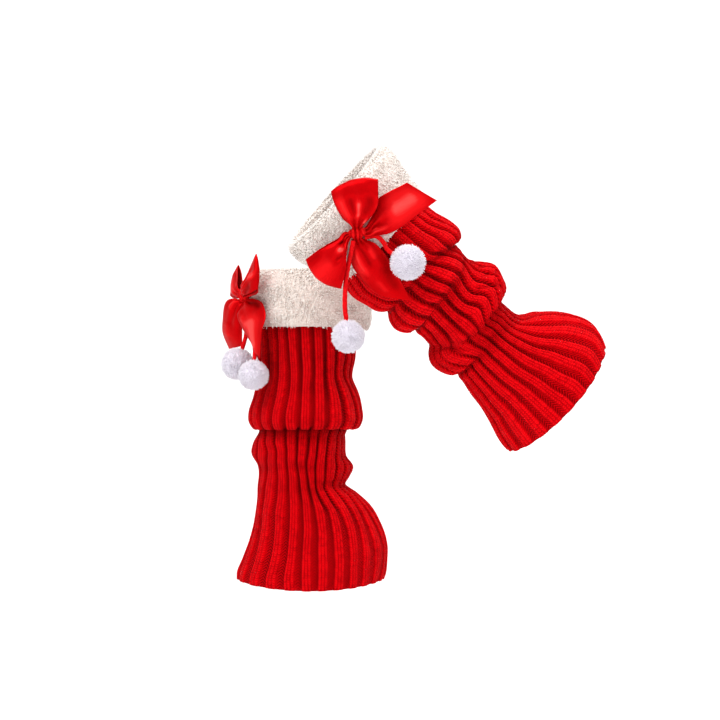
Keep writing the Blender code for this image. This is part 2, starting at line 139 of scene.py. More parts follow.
RAISED_KNIT = (
    (6, 55.5, 6, 48.5, 6, 55.5, 0.2),
    (28, 52.5, 28, 48, 28, 51, 0.2),
    (54, 49, 54, 47.5, 58, 47, 1),
    (70, 52.3, 70, 50, 74, 47, 1.7),
    (85, 49.6, 82, 50.8, 90, 50.2, 1.7),
    (94, 47.8, 88, 50, 101, 49.8, 1.5),
    (99, 43.9, 91.5, 48.2, 105, 45.8, 1.3),
    (100.5, 41.1, 93.5, 47, 104, 39.8, 1.3),
    (110, 47.6, 103, 49.6, 108, 37.6, 1.6),
    (118, 49.2, 113, 50.7, 111.5, 37.2, 1.6),
    (127, 43.2, 122, 46.7, 115, 36.9, 1.4),
    (126.8, 39, 121.5, 41.9, 118.5, 36.7, 1.3),
    (134, 38, 127, 40, 123, 36.3, 1.6),
    (141, 37.8, 142, 40.7, 130, 39.4, 1.6),
    (147, 38.6, 156, 46, 145.5, 48.6, 1.6),
    (150, 40.5, 164, 42.5, 165, 37.5, 1.4),
    (154, 46.4, 163.8, 37.7, 165, 30.6, 1.3),
    (159, 50, 167, 36.7, 169, 28.7, 1.5),
    (167, 50.9, 171, 36.7, 175, 28.5, 1.6),
    (181, 45.1, 178, 36.5, 181, 28.3, 1.5),
    (181.5, 41.5, 181, 36.6, 185, 28.5, 1.5),
    (189, 42.5, 188, 39, 192, 30.9, 1.8),
    (202, 45.3, 201, 44.2, 201, 42.9, 1.8),
    (215, 48.2, 215, 49, 215, 56.1, 1.8),
    (232, 52.3, 232, 54.5, 231, 64.9, 1.8),
    (250, 58.8, 251, 58.9, 248, 68.2, 1.7),
    (264, 62.7, 266, 61.2, 263, 62.5, 1.2),
)

# Plush cuffs: the outline of a cut through the band, from its outer lower edge up, over
# the fold and back.
# front_down, front, side_down, side, back_down, back
STANDING_CUFF = (
    (54, 59.6, 54, 53.4, 55.5, 52.6),
    (47, 61.9, 47, 55, 48, 55),
    (28, 62.2, 28, 55.2, 28, 54.6),
    (9, 61.4, 9, 54.4, 9, 53.4),
    (2.2, 59.2, 2.2, 52.2, 2.2, 51.2),
    (0, 55.5, 0, 48.5, 0, 47.5),
    (2, 51.6, 2, 44.6, 2, 43.6),
    (9, 50, 9, 43, 9, 42),
    (20, 50, 20, 43, 20, 41.2),
)

RAISED_CUFF = (
    (53, 53.8, 54, 53.4, 58, 51.6),
    (46, 56.4, 46, 55, 49, 54.2),
    (28, 59.2, 28, 55.4, 28, 58.2),
    (9, 61.8, 9, 55.2, 9, 61.8),
    (2.2, 60.4, 2.2, 53.2, 2.2, 60.4),
    (0, 56.8, 0, 49.6, 0, 56.8),
    (2, 52.6, 2, 45.4, 2, 52.6),
    (9, 50.3, 9, 43.4, 9, 50.3),
    (20, 49, 20, 43.2, 20, 48.6),
)

# Ribbons: both edges of the strip at each station in the bow's directions, and how far
# the middle of the strip stands out between them.
# right_a, up_a, lift_a, right_b, up_b, lift_b, crown
STANDING_LOOP_A = (
    (7.4, 5.5, 3.4, 8.9, -3, 3.4, 0),
    (13, 9.5, 5.6, 16, -1.8, 6, 1),
    (21.5, 20, 2.6, 27, -0.5, 5.2, 1.5),
    (28.5, 29.5, 0.2, 34.5, 1, 2.4, 1.5),
    (33.5, 36.5, -2, 38, 3.6, -1.2, 2),
    (28.5, 30.5, -3.6, 34, 1.6, -3.6, 1),
    (21.5, 21.5, -3.6, 27, -0.6, -3.8, 1),
    (13.5, 11.5, -2.4, 16, -1.5, -2.6, 0.5),
    (7.8, 5.8, 0.6, 9.2, -2.8, 0.6, 0),
)
STANDING_LOOP_B = (
    (-7.4, 5.5, 3.4, -8.9, -3, 3.4, 0),
    (-13, 11, 3, -16, -3, 4.4, 1),
    (-20, 17, 0.6, -24, -1.6, 5.2, 1.5),
    (-27, 24, -1.6, -30.5, 0.6, 4.6, 1.5),
    (-32, 29.5, -3.9, -34, 4.4, 2.6, 2),
    (-28, 23, -5.2, -31, 2, -0.6, 1),
    (-21, 15.5, -4.2, -25, -0.4, -2.2, 1),
    (-13, 9.5, -2.2, -16, -1.8, -1.8, 0.5),
    (-7.8, 5.8, 0.6, -9.2, -2.8, 0.6, 0),
)
STANDING_TAIL_A = (
    (2.4, -6.8, -0.8, 8.8, -4.4, -0.8, 0),
    (1, -13, 4, 15, -4.2, -4.5, 1),
    (1.5, -19, 7, 27, -7.5, -8.5, 1.5),
    (4, -29, 4, 37, -20, -9.8, 3),
    (11, -40, -0.5, 41, -35, -5, 3),
    (20, -46, -2, 38.5, -59.5, -4, 1.5),
)
STANDING_TAIL_B = (
    (-8.8, -4.4, -0.8, -2.4, -6.8, -0.8, 0),
    (-14, -3.4, 7.6, -3, -14, 2, 1),
    (-22, -7, 11.6, -3.5, -25, 2, 2),
    (-30, -22.5, 12, -4, -34, 1, 2.5),
    (-33, -36, 11, -5, -43, 0.5, 2.5),
    (-30, -50.5, 5.8, -5.5, -48, 0, 1.5),
)
RAISED_LOOP_A = (
    (-5.5, 6.3, 3.4, 5.5, 6.3, 3.4, 0),
    (-11.5, 12.5, 6, 13, 16, 8.5, 1.5),
    (-17, 22.5, 8.5, 17.3, 25.5, 11, 2),
    (-20.2, 31, 8, 17.5, 36, 11, 2.5),
    (-21.2, 35, 4, 17.4, 45, 5.5, 3),
    (-20.2, 31, 0, 17, 38, 1, 1),
    (-16.5, 22.5, -1.2, 14, 27, -0.8, 0.5),
    (-11.5, 15, -1, 10, 17, -1, 0.5),
    (-5.5, 6.6, 0.4, 5.5, 6.6, 0.4, 0),
)
RAISED_LOOP_B = (
    (-9.6, 0.6, 3, -6.4, -5.6, 3, 0),
    (-15, -4.5, 7, -8.5, -15.5, 7.5, 1.5),
    (-26, -10.5, 9, -9, -28, 10.5, 2.5),
    (-36, -17, 8, -11.5, -39.5, 9.5, 2.5),
    (-42.4, -22, 3.5, -13, -46.2, 4.5, 3.5),
    (-36, -17.5, -0.5, -11.5, -40, -0.5, 1.5),
    (-26, -11, -2, -9.5, -28.5, -1.5, 0.5),
    (-15.5, -5, -1.5, -8.8, -16, -1.2, 0.5),
    (-9.9, 0.4, 0.3, -6.8, -6, 0.3, 0),
)
RAISED_TAIL_A = (
    (7.6, 4.8, -1.4, 8.6, -4.4, -0.8, 0),
    (14, 17, -2, 17, -2.6, -0.8, 1.5),
    (18, 28, -2.6, 26.5, -1, -1.4, 2),
    (26, 33.5, -2, 37, 4.5, -1.5, 2),
    (34, 37.8, -1, 49, 14, -1, 1.5),
    (41.4, 41.7, -0.5, 66.2, 27, 0, 0.5),
)
RAISED_TAIL_B = (
    (-4, -6.4, -2.6, 5.8, -5.8, -2.6, 0),
    (-5.5, -17.5, -2.5, 15, -9.5, -3.5, 4),
    (-4.5, -26.5, -3.5, 22, -17, -5, 5),
    (0.5, -36, -5.5, 28, -27, -6.5, 4.5),
    (8, -45.5, -7, 35, -39, -7.5, 3.5),
    (19.5, -55, -7.5, 45.5, -59, -7.5, 1.5),
)

RIBS = 28
WALL = 1.6

# Valleys between the ribs: the angle of valleys 2 to 12 at places down the tube in mm. The
# other valleys are spread evenly round the far side.
FIRST_VALLEY = 2
# run, angles
STANDING_VALLEYS = (
    (0, 20, 37, 52, 63.5, 77, 90, 106, 122, 138, 153, 168),
    (40, 20, 37, 52, 63.5, 77, 90, 106, 122, 138, 153, 168),
    (75, 20, 38, 52, 64, 77.5, 91.5, 108.5, 126, 144, 159, 170),
    (90, 20, 37, 51, 65, 78, 92.5, 110.5, 127, 145, 160, 171),
    (110, 18, 34.5, 50.5, 65.5, 78.5, 91, 110, 129, 150, 163, 173),
    (130, 18, 36.5, 50.5, 64, 78.5, 91, 109, 131, 154, 167, 175),
    (145, 17, 35, 49, 63, 77.5, 90, 107, 129, 151, 165, 174),
    (155, 14, 30.5, 46, 60.5, 74.5, 87, 103, 123, 144, 158, 169),
    (165, 19, 35, 49, 62.5, 75, 86.5, 101, 120, 141, 156, 168),
    (176, 25, 43, 54.5, 65.5, 76, 86, 99, 117, 138, 153, 166),
    (190, 18, 35, 50.5, 63.5, 74.5, 84, 95, 110, 128, 144, 160),
    (205, 13, 30.5, 50, 63.5, 76.5, 86, 96.5, 113, 130, 146, 160),
    (220, 10, 28, 49, 64.5, 78.5, 89, 100, 113.5, 132, 147, 160),
    (235, 9, 26, 47.5, 65, 79, 91.5, 105, 116.5, 131, 143, 156),
    (250, 12, 29, 49, 65.5, 80, 93, 105, 117.5, 131, 142, 158),
    (270, 13, 31, 50, 66, 79.5, 92.5, 105, 118, 130.5, 143, 160),
    (307, 14, 32, 50.5, 66.5, 80.5, 92.5, 105, 118, 130, 143, 156),
)
RAISED_VALLEYS = (
    (0, -8, 6, 21, 36, 51, 65, 80, 94, 109, 124, 138),
    (60, -8, 6, 21, 36, 51, 65, 80, 94, 109, 125, 136),
    (80, -7, 7, 21, 35, 52, 67, 81, 95, 108.5, 127, 143),
    (92, -5, 8, 23, 39.5, 61, 76, 88, 99.5, 112, 130, 150),
    (100, -4, 9, 25, 42, 63.5, 77, 90.5, 105.5, 126, 142, 156),
    (110, -2, 12, 32, 51, 68, 80.5, 95, 117.5, 139, 152, 163),
    (120, 0, 15, 34, 54, 72, 86, 102.5, 122, 144, 156, 166),
    (130, 0, 15, 32, 51.5, 71, 85.7, 103, 122, 145, 158, 168),
    (140, 0, 14, 30, 50, 69, 84, 99.5, 114.5, 134, 150, 163),
    (150, 0, 13, 27.5, 48, 68, 87, 104, 118, 133, 147, 160),
    (163, 2, 14, 27, 46, 70, 85, 97, 112, 128, 143, 157),
    (175, 6, 19, 32, 50, 72.5, 84, 96.5, 110, 124, 139, 154),
    (190, 10, 24, 40, 58, 73.5, 86, 101, 115, 127, 140, 154),
    (200, 12, 27, 42.5, 57.5, 72, 85, 100, 114, 126, 139, 154),
    (215, 13, 27.5, 43, 58, 72.5, 86, 99.5, 111, 122, 138, 159),
    (230, 13, 28.7, 44.7, 60, 74, 87.5, 100, 110.5, 123.5, 142, 166),
    (245, 13, 29.3, 47.7, 62.7, 77, 90.5, 103, 116, 129.5, 150.5, 170),
    (260, 13, 29.7, 49, 64, 79.5, 92.7, 106, 119.7, 134.7, 155, 171),
    (275, 13, 30, 50, 65.7, 80.7, 95, 110, 123.5, 138.5, 156.5, 172),
    (287, 13, 30, 50, 66, 81, 95.5, 110.5, 124, 139, 157, 172),
)

# Valleys' share of the ribs' pitch, their depth in mm, and the painted shade in them: how light the yarn is
# painted there.
# run, share, depth, shade
STANDING_RIBBING = (
    (0, 0.34, 0.9, 0.44),
    (90, 0.36, 1, 0.44),
    (135, 0.34, 0.9, 0.54),
    (158, 0.24, 1.2, 0.32),
    (190, 0.22, 1.2, 0.40),
    (216, 0.24, 1.1, 0.50),
    (240, 0.38, 0.9, 0.56),
    (270, 0.44, 0.9, 0.60),
    (307, 0.44, 0.8, 0.64),
)
RAISED_RIBBING = (
    (0, 0.30, 0.9, 0.54),
    (85, 0.30, 1, 0.54),
    (105, 0.34, 1.2, 0.40),
    (145, 0.34, 1.3, 0.28),
    (162, 0.26, 1, 0.46),
    (200, 0.28, 1.2, 0.36),
    (230, 0.34, 1.1, 0.50),
    (255, 0.40, 1, 0.60),
    (287, 0.42, 0.9, 0.64),
)

# Soft troughs (depth below 0) and ridges: points of (angle, run), width, depth.
STANDING_CREASES = (
    (((-12, 151.5), (50, 152), (112, 151.5)), 2.2, -1.5),
    (((92, 151.5), (150, 152), (210, 151.5)), 2.2, -1.5),
    (((190, 151.5), (270, 152), (362, 151.5)), 2.2, -1.5),
    (((110, 58), (111.5, 78), (110.5, 100), (109.5, 128)), 3, -0.8),
    (((127, 98), (131, 118), (132.5, 140)), 2.6, -1),
    (((76, 55), (78, 80), (78.5, 112)), 1.8, -0.6),
    (((40, 62), (44, 84), (41, 104)), 4.5, -0.7),
    (((60, 98), (72, 106), (90, 105), (108, 109)), 5, -0.5),
    (((84, 196), (87, 208), (90, 222), (92, 231)), 1.9, -1.2),
    (((96, 205), (100.5, 221), (106, 237)), 2, -1.4),
    (((113, 209), (114.5, 223), (118, 236)), 2, -1.2),
    (((75, 198), (78.5, 218), (80, 228)), 1.8, -0.8),
    (((90, 199), (108, 207), (126, 205), (142, 200)), 4, -0.9),
    (((4, 197), (25, 193), (48, 192)), 4, -0.5),
    (((62, 184), (80, 189), (97, 187)), 4.5, -0.5),
    (((140, 262), (147, 276), (143, 292)), 3.5, -0.6),
    (((16, 236), (26, 250), (24, 266)), 4, -0.5),
    (((250, 60), (249, 95), (251, 126)), 3.2, -0.8),
    (((229, 98), (226, 118), (224, 139)), 2.6, -0.9),
    (((283, 56), (281, 82), (284, 108)), 2.4, -0.6),
    (((318, 64), (314, 86), (319, 106)), 4.5, -0.6),
    (((262, 203), (258, 221), (253, 236)), 2, -1.3),
    (((246, 211), (243, 224), (240, 235)), 2.2, -1.1),
    (((276, 197), (272, 216), (269, 230)), 2, -1.1),
    (((224, 202), (244, 208), (266, 202)), 4.2, -0.8),
    (((312, 195), (334, 191), (354, 196)), 4.2, -0.5),
    (((208, 248), (213, 264), (207, 282)), 4, -0.6),
    (((190, 112), (186, 124), (191, 137)), 3, -0.7),
)
RAISED_CREASES = (
    (((-20, 129), (10, 129), (40, 128), (64, 126)), 2.2, -1.5),
    (((-20, 200), (10, 200), (40, 199), (62, 197)), 2.2, -1.6),
    (((132, 97), (150, 99), (175, 101), (200, 99)), 2.2, -1.3),
    (((136, 166), (155, 168), (178, 169), (205, 168)), 2.2, -1.3),
    (((66, 167), (84, 168), (104, 167), (122, 168)), 2, -0.9),
    (((296, 127), (318, 129), (344, 129)), 2.2, -1.4),
    (((298, 198), (320, 200), (344, 200)), 2.2, -1.4),
    (((99, 90), (107, 101), (118, 112)), 2, -1.4),
    (((110, 89), (124, 97), (138, 107)), 2, -1.4),
    (((88, 94), (93.5, 105), (97, 115)), 2, -1),
    (((62, 91), (67, 102), (69, 112)), 2.4, -1),
    (((40, 93), (46, 104), (54, 112)), 2.6, -0.9),
    (((124, 60), (125, 72), (129, 84)), 2, -1),
    (((136, 56), (135, 66), (139, 76), (147, 84)), 2, -1),
    (((151, 54), (147, 65), (153, 75), (161, 79)), 2, -0.9),
    (((62, 112), (76, 115), (90, 116), (105, 114), (122, 117)), 2.4, 0.9),
    (((60, 119), (76, 121), (92, 121.5), (108, 119), (125, 121)), 2, -0.9),
    (((70, 124), (69.5, 136), (68.5, 150)), 1.8, -0.8),
    (((51, 124), (50.5, 138), (48.5, 150)), 2, -0.8),
    (((85.5, 122), (85, 134), (85, 147)), 1.6, -0.7),
    (((144, 137), (157, 145), (169, 151)), 1.7, -1.1),
    (((134, 142), (146, 150), (158, 157), (170, 160)), 1.7, -1.2),
    (((128, 149), (140, 157), (151, 162)), 1.8, -1),
    (((116, 137), (125, 148), (136, 157), (145, 162)), 1.8, -1.3),
    (((158, 134), (170, 140), (183, 146)), 1.9, -1),
    (((27, 166), (45, 172), (58, 177), (67, 185)), 2.4, -1.3),
    (((60, 165), (68, 173), (74, 184)), 2, -1.1),
    (((8, 180), (28, 185), (47, 191)), 3.2, -0.6),
    (((95, 162), (112, 167), (128, 172)), 2.6, -0.7),
    (((150, 206), (163, 214), (171, 228)), 2.6, -0.9),
    (((76, 186), (86, 192), (101, 196)), 3.5, -0.5),
    (((202, 138), (194, 146), (186, 152)), 1.8, -1.1),
    (((218, 143), (206, 151), (197, 158)), 1.8, -1.1),
    (((230, 148), (216, 157), (205, 162)), 1.9, -1),
    (((244, 137), (234, 148), (223, 157)), 2, -1.2),
    (((333, 165), (316, 171), (303, 177), (293, 185)), 2.5, -1.3),
    (((301, 164), (292, 173), (286, 184)), 2.1, -1),
    (((262, 91), (254, 101), (243, 111)), 2.2, -1.3),
    (((247, 88), (236, 97), (222, 106)), 2.2, -1.3),
    (((296, 93), (291, 104), (288, 114)), 2.2, -0.9),
    (((214, 58), (218, 70), (213, 82)), 2.2, -0.9),
    (((236, 60), (233, 74), (238, 85)), 2.4, -0.8),
    (((290, 119), (272, 121), (255, 119), (238, 121)), 2.2, -0.9),
    (((210, 208), (199, 215), (191, 229)), 2.6, -0.8),
)

# Where the ribs lie nearly flat: angle, run, half width and half height in mm, share lost.
STANDING_FADES = (
    (153, 282, 26, 30, 0.65),
    (8, 282, 16, 34, 0.40),
    (214, 284, 22, 26, 0.50),
)
RAISED_FADES = (
    (28, 178, 30, 12, 0.60),
    (8, 112, 24, 12, 0.50),
    (170, 246, 26, 26, 0.35),
    (330, 178, 26, 12, 0.50),
)

# Painted light and shade along each tube: darkest, as painted shade, under a fold's lip, and lighter over
# most of the raised tube. Run, share.
STANDING_PAINTED_LIGHT = (
    (0, 0.84), (130, 0.90), (145, 0.80), (151, 0.48), (155, 0.42), (160, 0.68), (168, 0.90),
    (184, 0.88), (191, 0.78), (196, 0.90), (204, 0.88), (211, 0.80), (220, 0.90), (306, 0.92),
)
RAISED_PAINTED_LIGHT = (
    (0, 1.18), (88, 1.16), (96, 0.76), (103, 1.10), (118, 1.14), (126, 0.76), (134, 1.12),
    (160, 1.12), (171, 0.84), (180, 1.12), (191, 1.08), (198, 0.72), (206, 1.10), (286, 1.04),
)

TUBE_PAIRS = ([0, 1], [2, 3], [4, 5])
RIBBON_PAIRS = ([0, 1, 2], [3, 4, 5])


def hermite(values, places, at):
    """Smooth curves through rows of values at their places, read at other places."""
    values = np.asarray(values, dtype=float)
    gap = np.diff(places)
    slope = np.diff(values, axis=0) / gap[:, None]
    tangent = np.empty_like(values)
    tangent[0] = slope[0]
    tangent[-1] = slope[-1]
    before = gap[:-1, None]
    after = gap[1:, None]
    tangent[1:-1] = (slope[:-1] * after + slope[1:] * before) / (before + after)
    k = np.clip(np.searchsorted(places, at, side="right") - 1, 0, len(gap) - 1)
    w = ((at - places[k]) / gap[k])[:, None]
    h = gap[k][:, None]
    return (
        values[k] * (2 * w ** 3 - 3 * w ** 2 + 1) + tangent[k] * h * (w ** 3 - 2 * w ** 2 + w)
        + values[k + 1] * (3 * w ** 2 - 2 * w ** 3) + tangent[k + 1] * h * (w ** 3 - w ** 2)
    )


def along(table, pairs):
    """How far along a table each of its rows is, from the mean of its outlines' lengths."""
    table = np.array(table, dtype=float)
    steps = 0
    for columns in pairs:
        steps = steps + np.linalg.norm(np.diff(table[:, columns], axis=0), axis=1)
    return np.concatenate([[0], np.cumsum(steps / len(pairs))])


def smoothstep(low, high, value):
    t = np.clip((value - low) / (high - low), 0, 1)
    return t * t * (3 - 2 * t)


def unit(vectors):
    return vectors / np.maximum(np.linalg.norm(vectors, axis=-1, keepdims=True), 1e-9)


def grid_normals(grid, closed_across, outward):
    """Normals of a grid of points, on the side of the vector or vectors outward."""
    down = np.gradient(grid, axis=0)
    if closed_across:
        across = np.roll(grid, -1, axis=1) - np.roll(grid, 1, axis=1)
    else:
        across = np.gradient(grid, axis=1)
    normals = unit(np.cross(down, across))
    if np.sum(normals[len(grid) // 4, 0] * outward) < 0:
        normals = -normals
    return normals


def tube_grid(tube, rows, degrees):
    """Points of a tube at each row's angles, and their normals away from its axis."""
    grid = tube.points(rows, np.radians(degrees))
    i = len(rows) // 4
    outward = grid[i, 0] - (tube.top + tube.down * rows[i, 0])
    return grid, grid_normals(grid, True, outward)


def grid_quads(rows, columns, closed_across, first=0):
    """Faces of a grid of points, and the row and column of each of their corners."""
    i, j = np.meshgrid(
        np.arange(rows - 1), np.arange(columns if closed_across else columns - 1), indexing="ij"
    )
    i = i.ravel()
    j = j.ravel()
    corners = [(i, j), (i + 1, j), (i + 1, j + 1), (i, j + 1)]
    faces = np.stack([first + a * columns + b % columns for a, b in corners], axis=1)
    return faces, np.stack([np.stack(corner, axis=-1) for corner in corners], axis=1)


def shell(outer, inner, order):
    """Points and faces of two closed grids, one inside the other, and of the rims between.

    After these come the corners of both grids' faces, as grid_quads gives them.
    """
    rows, columns = outer.shape[:2]
    first = rows * columns
    faces, corners = grid_quads(rows, columns, True)
    inner_faces, inner_corners = grid_quads(len(inner), columns, True, first)
    j = np.arange(columns)
    k = (j + 1) % columns
    last = first - columns
    last_inner = first + (len(inner) - 1) * columns
    start = np.stack([j, k, first + k, first + j], axis=1)
    end = np.stack([last + j, last_inner + j, last_inner + k, last + k], axis=1)
    points = np.concatenate([outer.reshape(-1, 3), inner.reshape(-1, 3)])
    groups = (faces, inner_faces[:, ::-1], start[:, order], end[:, order])
    return points, groups, corners, inner_corners


def grid_fans(rows, columns, order):
    """Triangles that close a closed grid's ends, on two points that come after its own."""
    j = np.arange(columns)
    k = (j + 1) % columns
    size = rows * columns
    last = size - columns
    start = np.stack([np.full(columns, size), j, k], axis=1)
    end = np.stack([np.full(columns, size + 1), last + k, last + j], axis=1)
    return start[:, order], end[:, order]


def add_mesh(name, points, faces, material, uv=None, tone=None):
    """A smooth object from points in millimetres; faces are arrays of quads or triangles."""
    mesh = bpy.data.meshes.new(name)
    listed = [face for group in faces for face in group.tolist()]
    mesh.from_pydata((points * MM).tolist(), [], listed)
    if uv is not None:
        layer = mesh.uv_layers.new(name="UVMap")
        layer.data.foreach_set("uv", np.concatenate([group.reshape(-1, 2) for group in uv]).ravel())
    if tone is not None:
        attribute = mesh.attributes.new("tone", "FLOAT", "POINT")
        attribute.data.foreach_set("value", np.asarray(tone, dtype=float).ravel())
    mesh.polygons.foreach_set("use_smooth", [True] * len(mesh.polygons))
    mesh.materials.append(material)
    mesh.update()
    item = bpy.data.objects.new(name, mesh)
    bpy.context.scene.collection.objects.link(item)
    return item


def add_piece(name, node, slot, points, faces, uv=None, tone=None):
    """A visible piece in place of a node of the solids, or beside one where node is None."""
    item = add_mesh(name, points, faces, MATERIALS[slot], uv, tone)
    if node is not None:
        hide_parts(node)
    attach(item, "root")
    return item


# Materials

class Material:
    """A Principled material with its own settings, and short ways to add nodes to it."""

    def __init__(self, name, settings):
        self.made = bpy.data.materials.new(name)
        self.made.use_nodes = True
        self.nodes = self.made.node_tree.nodes
        self.links = self.made.node_tree.links
        self.shader = self.nodes["Principled BSDF"]
        for socket, value in settings.items():
            self.shader.inputs[socket].default_value = value

    def add(self, kind, inputs):
        """A node with a value or a link on each of these inputs."""
        node = self.nodes.new(kind)
        for socket, value in inputs.items():
            if isinstance(value, bpy.types.NodeSocket):
                self.links.new(value, node.inputs[socket])
            else:
                node.inputs[socket].default_value = value
        return node

    def calc(self, operation, *inputs, clamp=False):
        node = self.add("ShaderNodeMath", dict(enumerate(inputs)))
        node.operation = operation
        node.use_clamp = clamp
        return node.outputs[0]

    def uv(self):
        node = self.add("ShaderNodeUVMap", {})
        node.uv_map = "UVMap"
        return node.outputs[0]

    # The tone attribute that each mesh carries: painted light and shade, with some random lightness of its
    # own.
    def tone(self):
        node = self.add("ShaderNodeAttribute", {})
        node.attribute_name = "tone"
        return node.outputs["Fac"]

    def noise(self, scale, detail, roughness=0.5):
        where = self.add("ShaderNodeTexCoord", {}).outputs["Object"]
        settings = {"Vector": where, "Scale": scale, "Detail": detail, "Roughness": roughness}
        return self.add("ShaderNodeTexNoise", settings).outputs["Fac"]

    def centred(self, factor, weight):
        """A noise's swing about its middle, at this weight."""
        return self.calc("MULTIPLY", self.calc("SUBTRACT", factor, 0.5), weight)

    def colour(self, factor, stops):
        """The base colour, from a ramp of places and colours."""
        node = self.add("ShaderNodeValToRGB", {0: factor})
        node.color_ramp.interpolation = "EASE"
        while len(node.color_ramp.elements) < len(stops):
            node.color_ramp.elements.new(0.5)
        for element, (place, colour) in zip(node.color_ramp.elements, stops):
            element.position = place
            element.color = (*colour, 1)
        self.links.new(node.outputs[0], self.shader.inputs["Base Color"])

    def bump(self, height, distance, strength):
        node = self.add("ShaderNodeBump", {"Strength": strength, "Distance": distance, "Height": height})
        self.links.new(node.outputs["Normal"], self.shader.inputs["Normal"])


STITCH_COLUMNS = 5.0
STITCH_TALL = 2.1
PURL_TALL = 2.7


def knit_material():
    """Red rib knit: fine columns of stitches on the ridges, slanted rows in the valleys, and painted light
    and shade from the tone attribute.
    """
    knit = Material("red_knit", {
        "Roughness": 0.82,
        "Specular IOR Level": 0.04,
        "Specular Tint": (1.0, 0.1, 0.1, 1),
        "Sheen Weight": 0.12,
        "Sheen Roughness": 0.4,
        "Sheen Tint": (1.0, 0.05, 0.06, 1),
    })
    calc = knit.calc
    rib, length, _ = knit.add("ShaderNodeSeparateXYZ", {0: knit.uv()}).outputs
    # Ridges: columns of V stitches, each stitch with a lightness of its own.
    wale = calc("MULTIPLY", rib, STITCH_COLUMNS)
    column = calc("ABSOLUTE", calc("SUBTRACT", calc("FRACT", wale), 0.5))
    rounded = calc("SUBTRACT", 1.0, calc("POWER", calc("MULTIPLY", column, 2.0), 1.8))
    phase = calc("ADD", calc("DIVIDE", length, STITCH_TALL), calc("MULTIPLY", column, 1.2))
    cell = knit.add("ShaderNodeCombineXYZ", {0: calc("FLOOR", wale), 1: calc("FLOOR", phase)})
    own = knit.add("ShaderNodeTexWhiteNoise", {"Vector": cell.outputs[0]}).outputs["Value"]
    wave = calc("COSINE", calc("MULTIPLY", phase, math.tau))
    plain = calc("MULTIPLY", rounded, calc("ADD", calc("MULTIPLY", wave, 0.40), 0.68))
    # Valleys: rows that slant away from the valley's middle.
    place = calc("ABSOLUTE", calc("SUBTRACT", calc("FRACT", rib), 0.5))
    slant = calc("ADD", calc("DIVIDE", length, PURL_TALL), calc("MULTIPLY", place, 6.0))
    purl = calc("ADD", calc("MULTIPLY", calc("COSINE", calc("MULTIPLY", slant, math.tau)), 0.46), 0.5)
    valley = calc("MULTIPLY", calc("SUBTRACT", place, 0.29), 14.0, clamp=True)
    stitch = knit.add("ShaderNodeMix", {0: valley, 2: plain, 3: purl}).outputs[0]
    fuzz = knit.noise(900.0, 2.0)
    knit.bump(calc("ADD", stitch, calc("MULTIPLY", fuzz, 0.3)), 0.0014, 0.9)

    # The stitch pattern also sets the colour: the stitches' shapes are the knit's own, and the darker gaps
    # between them are painted shade. Each stitch also has a random lightness of its own.
    lit = calc("ADD", calc("MULTIPLY", stitch, 0.72), 0.20)
    lit = calc("ADD", lit, calc("MULTIPLY", calc("MULTIPLY", own, calc("SUBTRACT", 1.15, valley)), 0.28))
    # The tone attribute multiplies in the painted light and shade of the ribs, valleys, creases and folds.
    light = calc("MULTIPLY", lit, knit.tone())
    light = calc("ADD", light, knit.centred(knit.noise(45.0, 3.0), 0.12), clamp=True)
    knit.colour(light, (
        (0.0, (0.08, 0.0, 0.001)),
        (0.5, (0.58, 0.0009, 0.0032)),
        (0.95, (0.98, 0.0030, 0.007)),
    ))
    return knit.made


def plush_material():
    """Cream plush of fine curls: pale tips, with painted shade, warmer and darker, between them."""
    plush = Material("cream_plush", {
        "Roughness": 0.95,
        "Specular IOR Level": 0.15,
        "Sheen Weight": 0.35,
        "Sheen Roughness": 0.5,
    })
    curls = plush.noise(520.0, 3.0, 0.6)
    cloud = plush.noise(70.0, 3.0, 0.6)
    # The tone attribute carries the painted shade between the curls; the noises add random mottling.
    light = plush.calc("ADD", plush.tone(), plush.centred(curls, 0.75))
    light = plush.calc("ADD", light, plush.centred(cloud, 0.25), clamp=True)
    plush.colour(light, (
        (0.0, (0.42, 0.32, 0.265)),
        (0.4, (0.81, 0.71, 0.645)),
        (0.75, (0.95, 0.885, 0.835)),
    ))
    plush.bump(curls, 0.0016, 0.6)
    return plush.made


def pompom_material():
    """White yarn, painted cooler and darker towards the roots as painted shade."""
    yarn = Material("white_pompom", {
        "Roughness": 0.9,
        "Specular IOR Level": 0.2,
        "Sheen Weight": 0.2,
    })
    yarn.colour(yarn.tone(), (
        (0.0, (0.62, 0.56, 0.68)),
        (0.55, (0.79, 0.745, 0.83)),
        (1.0, (0.92, 0.885, 0.95)),
    ))
    yarn.bump(yarn.noise(1200.0, 2.0), 0.0003, 0.4)
    return yarn.made


def satin_material():
    """Red satin: a soft gloss with faint streaks along the ribbon, and painted highlights and shade from the
    tone attribute.
    """
    satin = Material("red_satin", {
        "Metallic": 0.36,
        "Roughness": 0.32,
        "Specular IOR Level": 0.07,
        "Specular Tint": (1.0, 0.12, 0.12, 1),
        "Anisotropic": 0.4,
    })
    stretch = satin.add("ShaderNodeMapping", {"Scale": (2.2, 0.15, 1), "Vector": satin.uv()})
    settings = {"Scale": 1.0, "Detail": 3.0, "Vector": stretch.outputs[0]}
    streak = satin.add("ShaderNodeTexNoise", settings).outputs["Fac"]
    light = satin.calc("ADD", satin.calc("MULTIPLY", streak, 0.16), satin.tone())
    # The ramp runs from painted shade to a pale painted highlight at its top.
    satin.colour(light, (
        (0.08, (0.20, 0.0005, 0.001)),
        (0.55, (0.53, 0.0010, 0.0025)),
        (0.80, (0.78, 0.0080, 0.0100)),
        (1.0, (0.97, 0.0760, 0.0700)),
    ))
    satin.bump(streak, 0.0004, 0.35)
    return satin.made


